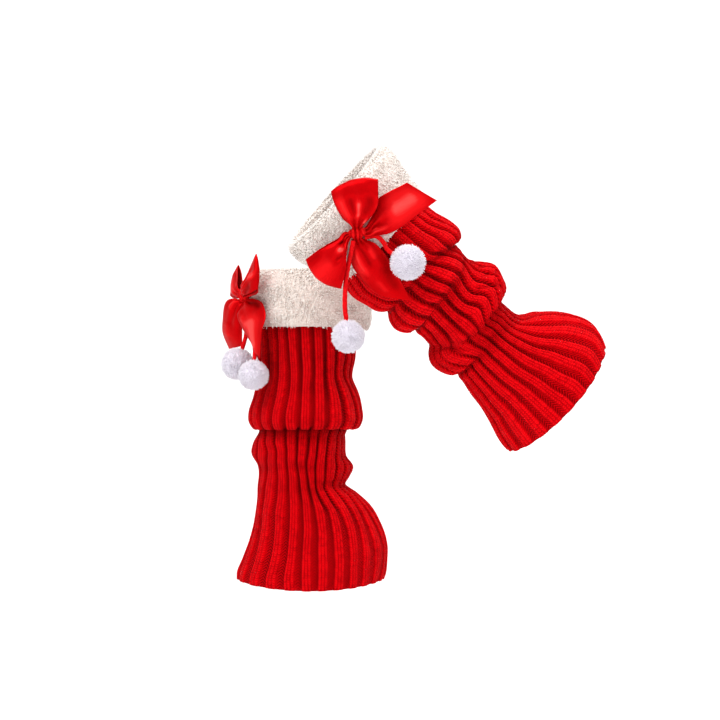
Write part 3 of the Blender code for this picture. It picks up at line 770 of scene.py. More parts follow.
def cord_material():
    """Matt red braided cord."""
    cord = Material("red_cord", {
        "Roughness": 0.8,
        "Specular IOR Level": 0.25,
        "Specular Tint": (1.0, 0.15, 0.15, 1),
    })
    fuzz = cord.noise(700.0, 3.0)
    cord.colour(fuzz, (
        (0.2, (0.52, 0.002, 0.004)),
        (0.8, (0.86, 0.005, 0.008)),
    ))
    cord.bump(fuzz, 0.0003, 0.5)
    return cord.made


# The materials by their slots.
MATERIALS = {
    "red_knit": knit_material(),
    "cream_plush": plush_material(),
    "white_pompom": pompom_material(),
    "red_satin": satin_material(),
    "red_cord": cord_material(),
}


# Cords

CORD_STEPS = 14
CORD_COLUMNS = 20
TWIST_PITCH = 5.5
STRANDS = 3


def smooth_line(controls, steps):
    """A Catmull-Rom line through the control points."""
    padded = np.vstack([2 * controls[0] - controls[1], controls, 2 * controls[-1] - controls[-2]])
    line = []
    for i in range(1, len(padded) - 2):
        p0, p1, p2, p3 = padded[i - 1:i + 3]
        for k in range(steps):
            t = k / steps
            line.append(0.5 * (
                2 * p1 + (p2 - p0) * t
                + (2 * p0 - 5 * p1 + 4 * p2 - p3) * t ** 2
                + (3 * p1 - p0 - 3 * p2 + p3) * t ** 3
            ))
    line.append(controls[-1])
    return np.array(line)


def add_cord(node, bow, controls, pompom, into_knot, into_pompom):
    """A twisted cord from inside the knot into its pompom."""
    middle = np.array(pompom[:3])
    controls = np.array(controls, dtype=float)
    away = unit(controls[-1] - middle)
    start = controls[0] + unit(controls[0] - controls[1]) * into_knot
    end = middle + away * (pompom[3] + CORD_END - into_pompom)
    line = bow.place(smooth_line(np.vstack([start, controls[1:], end]), CORD_STEPS))
    tangent = unit(np.gradient(line, axis=0))
    side = unit(np.cross(tangent, bow.lift))
    other = np.cross(tangent, side)
    run = np.concatenate([[0], np.cumsum(np.linalg.norm(np.diff(line, axis=0), axis=1))])
    angle = np.arange(CORD_COLUMNS) / CORD_COLUMNS * math.tau
    strand = STRANDS * angle + run[:, None] * math.tau / TWIST_PITCH
    radius = CORD_RADIUS * (0.93 + 0.09 * np.abs(np.cos(strand / 2)))
    ring = side[:, None] * np.cos(angle)[:, None] + other[:, None] * np.sin(angle)[:, None]
    points = (line[:, None] + ring * radius[..., None]).reshape(-1, 3)
    points = np.vstack([points, line[0], line[-1]])
    faces, _ = grid_quads(len(line), CORD_COLUMNS, True)
    fans = grid_fans(len(line), CORD_COLUMNS, [0, 1, 2])
    item = add_piece(node + "_twist", node, "red_cord", points, (faces, *fans))
    return item, line * MM, run[-1] * MM


# Knit

# Millimetres to a degree round a tube, for the creases' widths.
DEGREE = 0.82
KNIT_STEP = 1.9
# The inside has each fifth row of the outside.
INNER_STEP = 5
RIB_EDGE = 0.045
SWAY = 0.35
# The inside of the tube is painted darker: painted shade.
INNER_SHADE = 0.35


def line_distance(x, y, points):
    """Distance from a line of (x, y) points, and how far along it the nearest is, 0 to 1."""
    points = np.array(points, dtype=float)
    lengths = np.linalg.norm(np.diff(points, axis=0), axis=1)
    best = np.full(x.shape, 1e9)
    share = np.zeros(x.shape)
    done = 0.0
    for start, step, length in zip(points[:-1], np.diff(points, axis=0), lengths):
        ax = x - start[0]
        ay = y - start[1]
        t = np.clip((ax * step[0] + ay * step[1]) / length ** 2, 0, 1)
        distance = np.hypot(ax - t * step[0], ay - t * step[1])
        nearer = distance < best
        best = np.where(nearer, distance, best)
        share = np.where(nearer, (done + t * length) / lengths.sum(), share)
        done += length
    return best, share


def ends_faded(share):
    """1 along a crease, falling to a little at both of its ends."""
    return 0.12 + 0.88 * smoothstep(0, 0.3, share) * smoothstep(0, 0.3, 1 - share)


def creases_at(angles, run, creases):
    """Height of the soft troughs and ridges on a tube, in mm."""
    total = np.zeros(angles.shape)
    for points, width, depth in creases:
        middle = np.mean([angle for angle, _ in points])
        x = ((angles - middle + 180) % 360 - 180) * DEGREE
        distance, share = line_distance(x, run, [((a - middle) * DEGREE, r) for a, r in points])
        trough = np.exp(-(distance / width) ** 2)
        shoulder = np.exp(-((distance - 2 * width) / width) ** 2)
        total += depth * ends_faded(share) * (trough - 0.35 * shoulder)
    return total


def fades_at(angles, run, fades):
    """How tall the ribs are at each place, from 0 to 1."""
    total = np.ones(angles.shape)
    for angle, place, wide, tall, lost in fades:
        x = ((angles - angle + 180) % 360 - 180) * DEGREE
        total *= 1 - lost * np.exp(-(x / wide) ** 2 - ((run - place) / tall) ** 2)
    return total


def unevenness(angles, run, seed):
    """A small smooth wave over the whole tube, the same on each run."""
    source = np.random.default_rng(seed)
    waves = 14
    total = np.zeros(angles.shape)
    for _ in range(waves):
        around = source.integers(1, 9)
        length = source.uniform(22, 80)
        start = source.uniform(0, math.tau, 2)
        total += np.sin(np.radians(angles) * around + start[0]) * np.sin(run / length * math.tau + start[1])
    return total / waves ** 0.5


def rib_columns(valley_share):
    """Where a rib's columns stand at each row, as shares of its pitch, from its valley on."""
    half = valley_share / 2
    steps = [
        0 * half, 0.55 * half, half - RIB_EDGE, half, half + RIB_EDGE, half + 0.10,
        (half + 0.6) / 2, 0.5 + 0 * half,
    ]
    return np.stack(steps + [1 - step for step in steps[-2:0:-1]], axis=1)


def add_knit(name, tube, table, valleys, ribbing, creases, fades, painted_light, deep_side, seed):
    """The ribbed tube: straps between valleys that follow their table, folds and creases.

    A valley is deeper, and painted darker as painted shade, at one side: towards larger angles where
    deep_side is 1.
    """
    places = along(table, TUBE_PAIRS)
    row_count = int(places[-1] / KNIT_STEP)
    row_count = row_count - row_count % INNER_STEP + 1
    run = np.linspace(0, places[-1], row_count)
    rows = hermite(table, places, run)
    valleys = np.array(valleys, dtype=float)
    marks = hermite(valleys[:, 1:], valleys[:, 0], run)
    marks = np.column_stack([marks, marks[:, 0] + 360])
    indices = np.append(np.arange(marks.shape[1] - 1), RIBS) + FIRST_VALLEY
    ribbing = np.array(ribbing)
    valley_share, valley_depth, valley_shade = hermite(ribbing[:, 1:], ribbing[:, 0], run).T[:, :, None]
    steps = rib_columns(valley_share[:, 0])
    share = np.concatenate([FIRST_VALLEY + rib + steps for rib in range(RIBS)], axis=1)
    columns = share.shape[1]
    degrees = np.array([np.interp(row, indices, mark) for row, mark in zip(share, marks)])
    runs = np.broadcast_to(run[:, None], degrees.shape)
    degrees = degrees + SWAY * unevenness(degrees, runs, seed)
    grid, normals = tube_grid(tube, rows, degrees)

    # The ribs' relief, the folds and the waves, outside and in.
    from_valley = 0.5 - np.abs(share % 1 - 0.5)
    half = valley_share / 2
    ridge = smoothstep(half - RIB_EDGE, half + 0.06, from_valley)
    dome = 1 - 0.25 * ((0.5 - from_valley) / (0.5 - half)) ** 2
    present = fades_at(degrees, runs, fades)
    present = present * (1 - 0.4 * smoothstep(run[-1] - 5, run[-1], run)[:, None])
    relief = present * np.clip(rows[:, 6:7], 0, 1.7)
    lean = np.clip(deep_side * ((share + 0.5) % 1 - 0.5) / half, -1, 1)
    depth = valley_depth * (1 + 0.4 * lean)
    height = relief * ridge * dome - present * depth * (1 - ridge) * np.clip(rows[:, 6:7], 0, 1)
    fold = creases_at(degrees, runs, creases)
    wave = SWAY * unevenness(degrees, runs, seed + 1) * np.clip((run[:, None] - 40) / 20, 0, 1)
    outer = grid + normals * (height + fold + wave)[..., None]
    # The hem's edge hangs a little lower under each ridge.
    low = smoothstep(run[-1] - 8, run[-1], run)[:, None] * (ridge * dome - 0.5) * 0.3
    outer = outer + tube.down * low[..., None]
    inner_rows = np.arange(0, row_count, INNER_STEP)
    inner = (grid + normals * (np.minimum(fold, 0) + wave - WALL)[..., None])[inner_rows]
    inner = inner + tube.down * low[inner_rows][..., None]
    points, groups, corners, inner_corners = shell(outer, inner, [0, 1, 2, 3])

    full_share = np.column_stack([share, share[:, 0] + RIBS])
    j = np.arange(columns)

    def corner_uv(listed, row_numbers):
        row = row_numbers[listed[..., 0]]
        return np.stack([full_share[row, listed[..., 1]], run[row]], axis=-1)

    def rim_uv(order, row):
        return np.stack([full_share[row][np.array(order)].T, np.full((columns, 4), run[row])], axis=-1)

    uv = [
        corner_uv(corners, np.arange(row_count)),
        corner_uv(inner_corners, inner_rows)[:, ::-1],
        rim_uv([j, j + 1, j + 1, j], 0),
        rim_uv([j, j, j + 1, j + 1], row_count - 1),
    ]
    # Painted shade in the valleys, darker still at each valley's deep side.
    floor_shade = np.clip(valley_shade - 0.20 * lean, 0.05, 1)
    tone = floor_shade + (1 - floor_shade) * (ridge + (1 - ridge) * (1 - present))
    # Ridges are painted a little darker on top, and a painted highlight runs along each rib's edge by a
    # valley's deep side.
    from_deep = share % 1 if deep_side > 0 else 1 - share % 1
    tone = tone - 0.08 * ridge + 0.22 * present * np.exp(-((from_deep - half - 0.07) / 0.06) ** 2)
    # Painted shade in the creases' troughs, painted slightly lighter on their ridges.
    tone = tone * (1 + 0.32 * np.clip(fold, -2.2, 0.3))
    # Painted light and shade along the tube.
    painted_light = np.array(painted_light)
    tone = tone * np.interp(run, painted_light[:, 0], painted_light[:, 1])[:, None]
    tone = np.concatenate([tone.ravel(), np.full(len(inner) * columns, INNER_SHADE)])
    return add_piece(name, name + "_tube", "red_knit", points, groups, uv, tone)


# Plush

# All round a cuff, as the lumps and the curls are spaced.
CUFF_ROUND = 345.0
BAND_ROWS = 62
BAND_COLUMNS = 260
BACK_STEP = 6
# How far inside the cuff's sections the band's face, the curls' roots and the back lie.
FACE_DEPTH = 1.7
ROOT_DEPTH = 1.4
BACK_DEPTH = 3.6
# Painted shade on the band's back, inside the cuff.
BACK_SHADE = 0.4
LUMP_SPACING = 3.2
LUMP_SPREAD = 6.0
CURL_SPACING = 2.3
OUTER_RUN = 30
FOLD_CURLS = 1100
FINE_FIBRES = 4600
# Radii and painted shade from a fibre's root to its tip, darker at the root; the root's shade is the cuff's
# own.
CURL_RADII = (0.85, 0.78, 0.34)
FINE_RADII = (0.22, 0.18, 0.09)
PILE_SHADING = (0.64, 0.84)


def fibres(lines, radii, tone, first=0):
    """Three-sided fibres along many short lines: points, faces and tones."""
    count, steps = lines.shape[:2]
    tangent = unit(np.gradient(lines, axis=1))
    helper = unit(np.roll(tangent[:, :1], 1, axis=2) + np.array([0.31, -0.17, 0.23]))
    side = unit(np.cross(tangent, helper))
    other = np.cross(tangent, side)
    angles = np.arange(3) * math.tau / 3
    ring = side[:, :, None] * np.cos(angles)[:, None] + other[:, :, None] * np.sin(angles)[:, None]
    points = (lines[:, :, None] + ring * radii[:, :, None, None]).reshape(-1, 3)
    fibre, step, k = np.meshgrid(np.arange(count), np.arange(steps - 1), np.arange(3), indexing="ij")
    base = first + (fibre * steps + step) * 3
    m = (k + 1) % 3
    faces = np.stack([base + k, base + m, base + 3 + m, base + 3 + k], axis=-1).reshape(-1, 4)
    tips = first + (np.arange(count) * steps + steps - 1) * 3
    caps = np.stack([tips, tips + 1, tips + 2], axis=-1)
    return points, (faces, caps), np.repeat(tone.reshape(-1), 3)


def scattered(source, tall, wide, spread):
    """Row and column of places on a loose grid, where each odd row is half a step on."""
    row, column = np.meshgrid(np.arange(tall), np.arange(wide), indexing="ij")
    drift = source.uniform(-spread, spread, (2, tall, wide))
    return (row + 0.5 + drift[0]).ravel(), (column + 0.5 * (row % 2) + drift[1]).ravel()


def add_band(node, tube, table, root_shade, seed, source):
    """A band of plush with small lumps."""
    places = along(table, TUBE_PAIRS)
    run = np.linspace(0, places[-1], BAND_ROWS)
    rows = hermite(table, places, run)
    degrees = np.broadcast_to(np.arange(BAND_COLUMNS) / BAND_COLUMNS * 360, (BAND_ROWS, BAND_COLUMNS))
    runs = np.broadcast_to(run[:, None], degrees.shape)
    grid, normals = tube_grid(tube, rows, degrees)
    tall = int(places[-1] / LUMP_SPACING)
    wide = int(CUFF_ROUND / LUMP_SPACING)
    lump_row, lump_column = scattered(source, tall, wide, 0.4)
    lump_run = lump_row * places[-1] / tall
    lump_degrees = lump_column * 360 / wide
    lump_high = source.uniform(0.3, 0.9, lump_run.shape)
    lump = np.zeros(degrees.shape)
    for d, r, high in zip(lump_degrees, lump_run, lump_high):
        i0, i1 = np.searchsorted(run, (r - 4, r + 4))
        x = ((degrees[i0:i1] - d + 180) % 360 - 180) * (CUFF_ROUND / 360)
        y = runs[i0:i1] - r
        bulge = high * np.clip(1 - (x * x + y * y) / LUMP_SPREAD, 0, 1)
        lump[i0:i1] = np.maximum(lump[i0:i1], bulge)
    wave = 0.5 * unevenness(degrees, runs * 2, seed + 5) * smoothstep(0, 5, runs)
    base = grid + normals * (lump - FACE_DEPTH + wave)[..., None]
    back = (grid - normals * BACK_DEPTH)[::BACK_STEP]
    points, groups, _, _ = shell(base, back, [0, 3, 2, 1])
    # The band's face is painted as dark as the curls' roots, painted lighter on its lumps, and its back is
    # in painted shade.
    tone = np.concatenate([(root_shade + 0.35 * lump).ravel(), np.full(len(back) * BAND_COLUMNS, BACK_SHADE)])
    return add_piece(node.replace("cuff", "band"), node, "cream_plush", points, groups, tone=tone)


def add_pile(node, tube, table, root_shade, source):
    """Fat short curls close together, and thin fibres that stand out of them.

    Both hang over the band's lower edge.
    """
    places = along(table, TUBE_PAIRS)
    fine_run = np.linspace(0, places[-1], 400)
    run_at_top = fine_run[np.argmin(hermite(table, places, fine_run)[:, 0])]
    wide = int(CUFF_ROUND / CURL_SPACING)
    curl_row, curl_column = scattered(source, int((places[-1] - 1) / CURL_SPACING), wide, 0.45)
    curl_run = 0.4 + curl_row * CURL_SPACING
    curl_turn = curl_column / wide * math.tau
    fold_run = run_at_top + source.normal(0, 1.3, FOLD_CURLS)
    curl_run = np.concatenate([curl_run, np.clip(fold_run, 0.4, places[-1] - 1)])
    curl_turn = np.concatenate([curl_turn, source.uniform(0, math.tau, FOLD_CURLS)])
    root_run = np.concatenate([curl_run, source.uniform(0.2, places[-1] - 6, FINE_FIBRES)])
    root_angles = np.concatenate([curl_turn, source.uniform(0, math.tau, FINE_FIBRES)])[:, None]
    count = len(root_run)
    fat = np.arange(count) < len(curl_run)
    root_rows = hermite(table, places, root_run)
    root = tube.points(root_rows, root_angles)[:, 0]
    nearby = hermite(table, places, root_run + 0.5)
    along_run = unit(tube.points(nearby, root_angles)[:, 0] - root)
    round_ = unit(tube.points(root_rows, root_angles + 0.01)[:, 0] - root)
    normal = unit(np.cross(round_, along_run))
    # The curls of the outer face, within this run, tell which way is out.
    outer = root_run < OUTER_RUN
    from_axis = np.sum(normal * (root - (tube.top + tube.down * root_rows[:, 0:1])), axis=1)
    normal = normal * np.sign(np.median(from_axis[outer]))
    t = np.linspace(0, 1, 3)
    angle = source.uniform(0, math.tau, count)[:, None] + source.uniform(1.0, 3.0, count)[:, None] * t
    swing = np.where(fat, source.uniform(0.3, 1.2, count), source.uniform(0.5, 1.4, count))[:, None] * t
    high = np.where(fat, source.uniform(1.1, 2.1, count), source.uniform(1.6, 2.9, count))
    high = (high + 0.7 * np.exp(-((root_run - run_at_top) / 3) ** 2))[:, None] * t ** 0.8
    hang = (smoothstep(4.5, 0.5, root_run) * source.uniform(0.5, 2.2, count))[:, None] * t
    lines = (
        root[:, None] + normal[:, None] * (high - ROOT_DEPTH)[..., None]
        + along_run[:, None] * (swing * np.sin(angle) - hang)[..., None]
        + round_[:, None] * (swing * np.cos(angle))[..., None]
    )
    radii = np.where(fat[:, None], CURL_RADII, FINE_RADII) * source.uniform(0.8, 1.2, count)[:, None]
    # Painted shade: darker at each fibre's root, lighter to its tip, with a random lightness of each fibre's
    # own.
    fibre_tone = np.array([root_shade, *PILE_SHADING]) + source.uniform(-0.12, 0.12, count)[:, None]
    points, groups, tone = fibres(lines, radii, fibre_tone)
    return add_piece(node.replace("cuff", "pile"), None, "cream_plush", points, groups, tone=tone)


# Pompoms

BALL_RINGS = 28
BALL_COLUMNS = 48
BALL_LUMPS = 90
YARN_FIBRES = 3500
# The middle's size and where the yarn's roots are, as shares of the radius.
CORE = 0.83
YARN_ROOT = 0.78
YARN_RADII = (0.46, 0.42, 0.16)
# Painted shade along each fibre: darker at the root, lighter to the tip.
YARN_SHADING = (0.6, 0.8, 0.95)
YARN_LEAN = 1.3


def sphere_directions(rings, columns):
    """Directions from the middle of a ball, in rings from its top to its bottom."""
    turn = np.linspace(0.03, math.pi - 0.03, rings)[:, None]
    angle = np.arange(columns) / columns * math.tau
    flat = np.sin(turn)
    return np.stack(
        [flat * np.cos(angle), flat * np.sin(angle), np.cos(turn) * np.ones_like(angle)], axis=-1
    )


def add_pompom(node, bow, place, seed):
    """A ball of soft yarn: a lumpy middle, closely covered with short leaning fibres."""
    source = np.random.default_rng(seed)
    centre = bow.place([place[:3]])[0]
    radius = place[3]
    ball = sphere_directions(BALL_RINGS, BALL_COLUMNS)
    lumps = unit(source.normal(0, 1, (BALL_LUMPS, 3)))
    near = np.max(ball.reshape(-1, 3) @ lumps.T, axis=1).reshape(BALL_RINGS, BALL_COLUMNS)
    core = centre + ball * (radius * (CORE + 0.025 * smoothstep(0.955, 1.0, near)))[..., None]
    core_faces, _ = grid_quads(BALL_RINGS, BALL_COLUMNS, True)
    index = np.arange(YARN_FIBRES) + 0.5
    turn = math.pi * (1 + 5 ** 0.5) * index
    height = 1 - 2 * index / YARN_FIBRES
    flat = np.sqrt(1 - height * height)
    direction = np.stack([np.cos(turn) * flat, np.sin(turn) * flat, height], axis=1)
    direction = unit(direction + source.normal(0, 0.03, direction.shape))
    lean = unit(source.normal(0, 1, direction.shape))
    ends = radius * source.uniform(0.89, 0.95, YARN_FIBRES)
    stray = source.uniform(0, 1, YARN_FIBRES) < 0.06
    ends = ends + np.where(stray, source.uniform(0.2, 0.8, YARN_FIBRES), 0)
    t = np.linspace(0, 1, 3)
    reach = radius * YARN_ROOT + (ends - radius * YARN_ROOT)[:, None] * t
    lines = centre + direction[:, None] * reach[..., None]
    lines = lines + lean[:, None] * (t ** 1.5 * YARN_LEAN)[:, None]
    radii = YARN_RADII * source.uniform(0.8, 1.2, YARN_FIBRES)[:, None]
    # Each fibre's painted shade, with a random lightness of its own.
    fibre_tone = YARN_SHADING + source.uniform(-0.07, 0.07, YARN_FIBRES)[:, None]
    core_size = BALL_RINGS * BALL_COLUMNS
    points, groups, tone = fibres(lines, radii, np.clip(fibre_tone, 0, 1), core_size)
    points = np.concatenate([core.reshape(-1, 3), points])
    # The middle is painted in shade, as dark as the yarn's roots.
    tone = np.concatenate([np.full(core_size, 0.6), tone])
    groups = (core_faces, *groups)
    return add_piece(node + "_yarn", node, "white_pompom", points, groups, tone=tone)


# Ribbons

# A ribbon's strip starts inside the knot, at this share of its first row.
ROOT_SHARE = np.array([0.5, 0.5, 0.5, 0.5, 0.5, 0.5, 1.0])
RIBBON_STEP = 0.9
RIBBON_COLUMNS = 29
# Half a ribbon's width for its creases, and for the satin's streaks.
HALF_WIDTH = 18
STREAK_HALF_WIDTH = 19
HALF_THICKNESS = 0.22
# How much thicker that is at the ribbon's edges.
SELVEDGE = 0.10


def add_ribbon(node, bow, table, creases, pleats, bulge=0.0, both_ends=False):
    """A thin strip with gathers that fan out of the knot and its own creases, both carrying painted
    highlights and shade.

    A loop goes back into the knot, and its far edge bulges away from the knot.
    """
    table = np.array(table, dtype=float)
    root = table[0] * ROOT_SHARE
    table = np.vstack([root, table, table[-1] * ROOT_SHARE] if both_ends else [root, table])
    places = along(table, RIBBON_PAIRS)
    steps = int(places[-1] / RIBBON_STEP) + 1
    run = np.linspace(0, places[-1], steps)
    rows = hermite(table, places, run)
    share = np.linspace(-1, 1, RIBBON_COLUMNS)
    low = bow.place(rows[:, 0:3])[:, None]
    high = bow.place(rows[:, 3:6])[:, None]
    arch = 1 - share * share
    grid = low + (high - low) * ((share + 1) / 2)[:, None]
    normals = grid_normals(grid, False, bow.lift)
    grid = grid + normals * (rows[:, 6:7] * arch)[..., None]
    outermost = len(table) // 2
    away = bow.place([(table[outermost, 0:3] + table[outermost, 3:6]) / 2])[0] - bow.centre
    nearness = np.exp(-((run - places[outermost]) / 14) ** 2)[:, None]
    grid = grid + unit(away) * (bulge * nearness * arch)[..., None]
    from_knot = np.minimum(run, places[-1] - run) if both_ends else run
    count, amount, length, start = pleats
    gather = amount * np.exp(-from_knot / length)[:, None] * np.cos(
        math.pi * count * share + start + 0.02 * run[:, None]
    )
    gather = gather * smoothstep(-2, 6, from_knot)[:, None]
    fold = np.zeros(grid.shape[:2])
    # Painted light on the gathers: lighter on their crests, painted shade in their troughs.
    shade = 0.5 + 0.13 * gather / amount
    runs = np.broadcast_to(run[:, None], fold.shape)
    across = np.broadcast_to(share * HALF_WIDTH, fold.shape)
    # Each crease carries a painted highlight or painted shade as well as its relief.
    for points, width, depth, light in creases:
        distance, part = line_distance(across, runs, [(a * HALF_WIDTH, r) for a, r in points])
        profile = ends_faded(part) * np.exp(-(distance / width) ** 2)
        fold = fold + depth * profile
        shade = shade + light * profile
    grid = grid + normals * (gather + fold)[..., None]
    normals = grid_normals(grid, False, bow.lift)
    half = HALF_THICKNESS + SELVEDGE * smoothstep(0.93, 1.0, np.abs(share))[:, None]
    points = np.concatenate([(grid + normals * half).reshape(-1, 3), (grid - normals * half).reshape(-1, 3)])
    faces, corners = grid_quads(steps, RIBBON_COLUMNS, False)
    size = steps * RIBBON_COLUMNS
    i = np.arange(steps - 1) * RIBBON_COLUMNS
    after = i + RIBBON_COLUMNS
    j = np.arange(RIBBON_COLUMNS - 1)
    last = size - RIBBON_COLUMNS + j
    side = RIBBON_COLUMNS - 1
    edges = (
        np.stack([i, i + size, after + size, after], axis=1),
        np.stack([i, after, after + size, i + size], axis=1) + side,
        np.stack([j, j + 1, j + 1 + size, j + size], axis=1),
        np.stack([last, last + size, last + 1 + size, last + 1], axis=1),
    )
    face_uv = np.stack([share[corners[..., 1]] * STREAK_HALF_WIDTH, run[corners[..., 0]]], axis=-1)
    plain = [np.zeros((len(edge), 4, 2)) for edge in edges]
    item = add_piece(
        node + "_satin", node, "red_satin", points, (faces, faces[:, ::-1] + size, *edges),
        [face_uv, face_uv[:, ::-1]] + plain, np.tile(np.clip(shade, 0, 1).ravel(), 2),
    )


# Knots

KNOT_RINGS = 48
KNOT_COLUMNS = 60
# The wrap's creases: place across, width and depth.
WRAP_CREASES = ((-0.62, 0.09, 0.9), (-0.20, 0.11, 1.3), (0.22, 0.09, 1.0), (0.60, 0.08, 0.8))


def add_knot(node, bow, half, tilt, seed):
    """The wrapped middle of a bow: a bead with the wrap's creases round it."""
    source = np.random.default_rng(seed)
    turn = np.linspace(0.02, math.pi - 0.02, KNOT_RINGS)[:, None]
    angle = np.arange(KNOT_COLUMNS) / KNOT_COLUMNS * math.tau
    across = -np.cos(turn)
    reach = np.sin(turn) ** 0.6 * (1 + 0.10 * np.cos(across * 3))
    crease = np.zeros((KNOT_RINGS, KNOT_COLUMNS))
    for place, width, depth in WRAP_CREASES:
        drift = place + 0.13 * np.sin(angle + source.uniform(0, math.tau))
        crease = crease - depth * np.exp(-((across - drift) / width) ** 2)
    up = (half[1] + crease) * reach * np.cos(angle)
    lift = (half[2] + crease) * reach * np.sin(angle)
    right = half[0] * across * np.ones_like(angle)
    c = math.cos(math.radians(tilt))
    s = math.sin(math.radians(tilt))
    shape = np.stack([right * c - up * s, right * s + up * c, lift], axis=-1)
    points = bow.place(shape.reshape(-1, 3))
    ends = bow.place([(-half[0] * c, -half[0] * s, 0), (half[0] * c, half[0] * s, 0)])
    faces, corners = grid_quads(KNOT_RINGS, KNOT_COLUMNS, True)
    fans = grid_fans(KNOT_RINGS, KNOT_COLUMNS, [0, 2, 1])
    uv = np.stack([corners[..., 0] * 0.4, corners[..., 1] * 0.7], axis=-1)
    plain = [np.zeros((KNOT_COLUMNS, 3, 2))] * 2
    # Painted shade in the wrap's creases; the two ends, hidden in the ribbons, are painted dark.
    tone = np.concatenate([np.clip(0.66 + 0.40 * crease, 0, 1).ravel(), [0.2, 0.2]])
    points = np.vstack([points, ends])
    add_piece(node + "_satin", node, "red_satin", points, (faces, *fans), [uv] + plain, tone)


# Camera and stage

FLOOR = -0.44
BEND_AT = 1.2
BEND = 0.8
BEND_STEPS = 8
# name, place, what it points at, size, power
LIGHTS = (
    ("key", (-1.0, -1.7, 2.2), (0.05, -0.05, -0.08), (1.5, 1.5), 60),
    ("fill", (1.9, -2.2, 0.7), (0.05, -0.05, -0.08), (1.6, 1.6), 13),
    ("top", (0.6, 0.3, 2.2), (0.08, -0.05, -0.05), (1.4, 1.2), 40),
)


def add_camera():
    data = bpy.data.cameras.new("camera")
    data.lens = 89.1
    data.sensor_width = 36.0
    data.clip_start = 0.05
    data.clip_end = 50.0
    camera = bpy.data.objects.new("camera", data)
    camera.location = (0.0446, -1.69, -0.0569)
    camera.rotation_euler = (math.radians(90), 0, 0)
    bpy.context.scene.collection.objects.link(camera)
    bpy.context.scene.camera = camera


def add_stage():
    """A white floor that bends up into a wall, white surroundings and three soft lights."""
    studio = Material("studio", {"Base Color": (0.93, 0.93, 0.93, 1), "Roughness": 0.9})
    profile = [(-3.0, FLOOR), (BEND_AT, FLOOR)]
    for k in range(1, BEND_STEPS + 1):
        turn = math.radians(90 * k / BEND_STEPS)
        profile.append((BEND_AT + BEND * math.sin(turn), FLOOR + BEND - BEND * math.cos(turn)))
    profile.append((BEND_AT + BEND, 3.2))
    points = np.array([(x, y, z) for y, z in profile for x in (-4.0, 4.0)]) / MM
    faces = np.array([(2 * k, 2 * k + 1, 2 * k + 3, 2 * k + 2) for k in range(len(profile) - 1)])
    add_mesh("studio_floor", points, (faces,), studio.made)

    world = bpy.data.worlds.new("studio")
    world.use_nodes = True
    background = world.node_tree.nodes["Background"]
    background.inputs["Color"].default_value = (1, 1, 1, 1)
    background.inputs["Strength"].default_value = 0.58
    bpy.context.scene.world = world

    for name, place, target, size, power in LIGHTS:
        data = bpy.data.lights.new(name, "AREA")
        data.shape = "RECTANGLE"
        data.size, data.size_y = size
        data.energy = power
        light = bpy.data.objects.new(name, data)
        light.location = place
        direction = Vector(np.subtract(target, place))
        light.rotation_euler = direction.to_track_quat("-Z", "Y").to_euler()
        bpy.context.scene.collection.objects.link(light)


# The scene

# node, bow, points, pompom, how far it goes into the knot and into the pompom
CORDS = (
    ("standing_cord_a", STANDING_BOW, STANDING_CORD_A, STANDING_POMPOM_A, 0.0, 3.0),
    ("standing_cord_b", STANDING_BOW, STANDING_CORD_B, STANDING_POMPOM_B, 0.0, 3.0),
    ("raised_cord_a", RAISED_BOW, RAISED_CORD_A, RAISED_POMPOM_A, 0.0, 3.0),
    ("raised_cord_b", RAISED_BOW, RAISED_CORD_B, RAISED_POMPOM_B, 2.0, 6.0),
)
# flat length in metres, then what add_knit takes
KNITS = (
    (0.306, "standing_knit", STANDING, STANDING_KNIT, STANDING_VALLEYS, STANDING_RIBBING,
     STANDING_CREASES, STANDING_FADES, STANDING_PAINTED_LIGHT, 1, 3),
    (0.286, "raised_knit", RAISED, RAISED_KNIT, RAISED_VALLEYS, RAISED_RIBBING,
     RAISED_CREASES, RAISED_FADES, RAISED_PAINTED_LIGHT, -1, 7),
)
# flat length in metres, node, tube, sections, painted shade between the curls (lighter on the raised cuff),
# seed
CUFFS = (
    (0.080, "standing_plush_cuff", STANDING, STANDING_CUFF, 0.32, 11),
    (0.081, "raised_plush_cuff", RAISED, RAISED_CUFF, 0.50, 12),
)
POMPOMS = (
    ("standing_pompom_a", STANDING_BOW, STANDING_POMPOM_A, 31),
    ("standing_pompom_b", STANDING_BOW, STANDING_POMPOM_B, 32),
    ("raised_pompom_a", RAISED_BOW, RAISED_POMPOM_A, 33),
    ("raised_pompom_b", RAISED_BOW, RAISED_POMPOM_B, 34),
)

add_camera()
cords = {name: add_cord(name, *rest) for name, *rest in CORDS}
for length, *rest in KNITS:
    add_knit(*rest)
for length, node, tube, table, root_shade, seed in CUFFS:
    draws = np.random.default_rng(seed)
    band = add_band(node, tube, table, root_shade, seed, draws)
    pile = add_pile(node, tube, table, root_shade, draws)
add_knot("standing_bow_knot", STANDING_BOW, (7.6, 6.4, 5.4), 0, 21)
add_knot("raised_bow_knot", RAISED_BOW, (7.4, 5.0, 5.4), 14, 22)

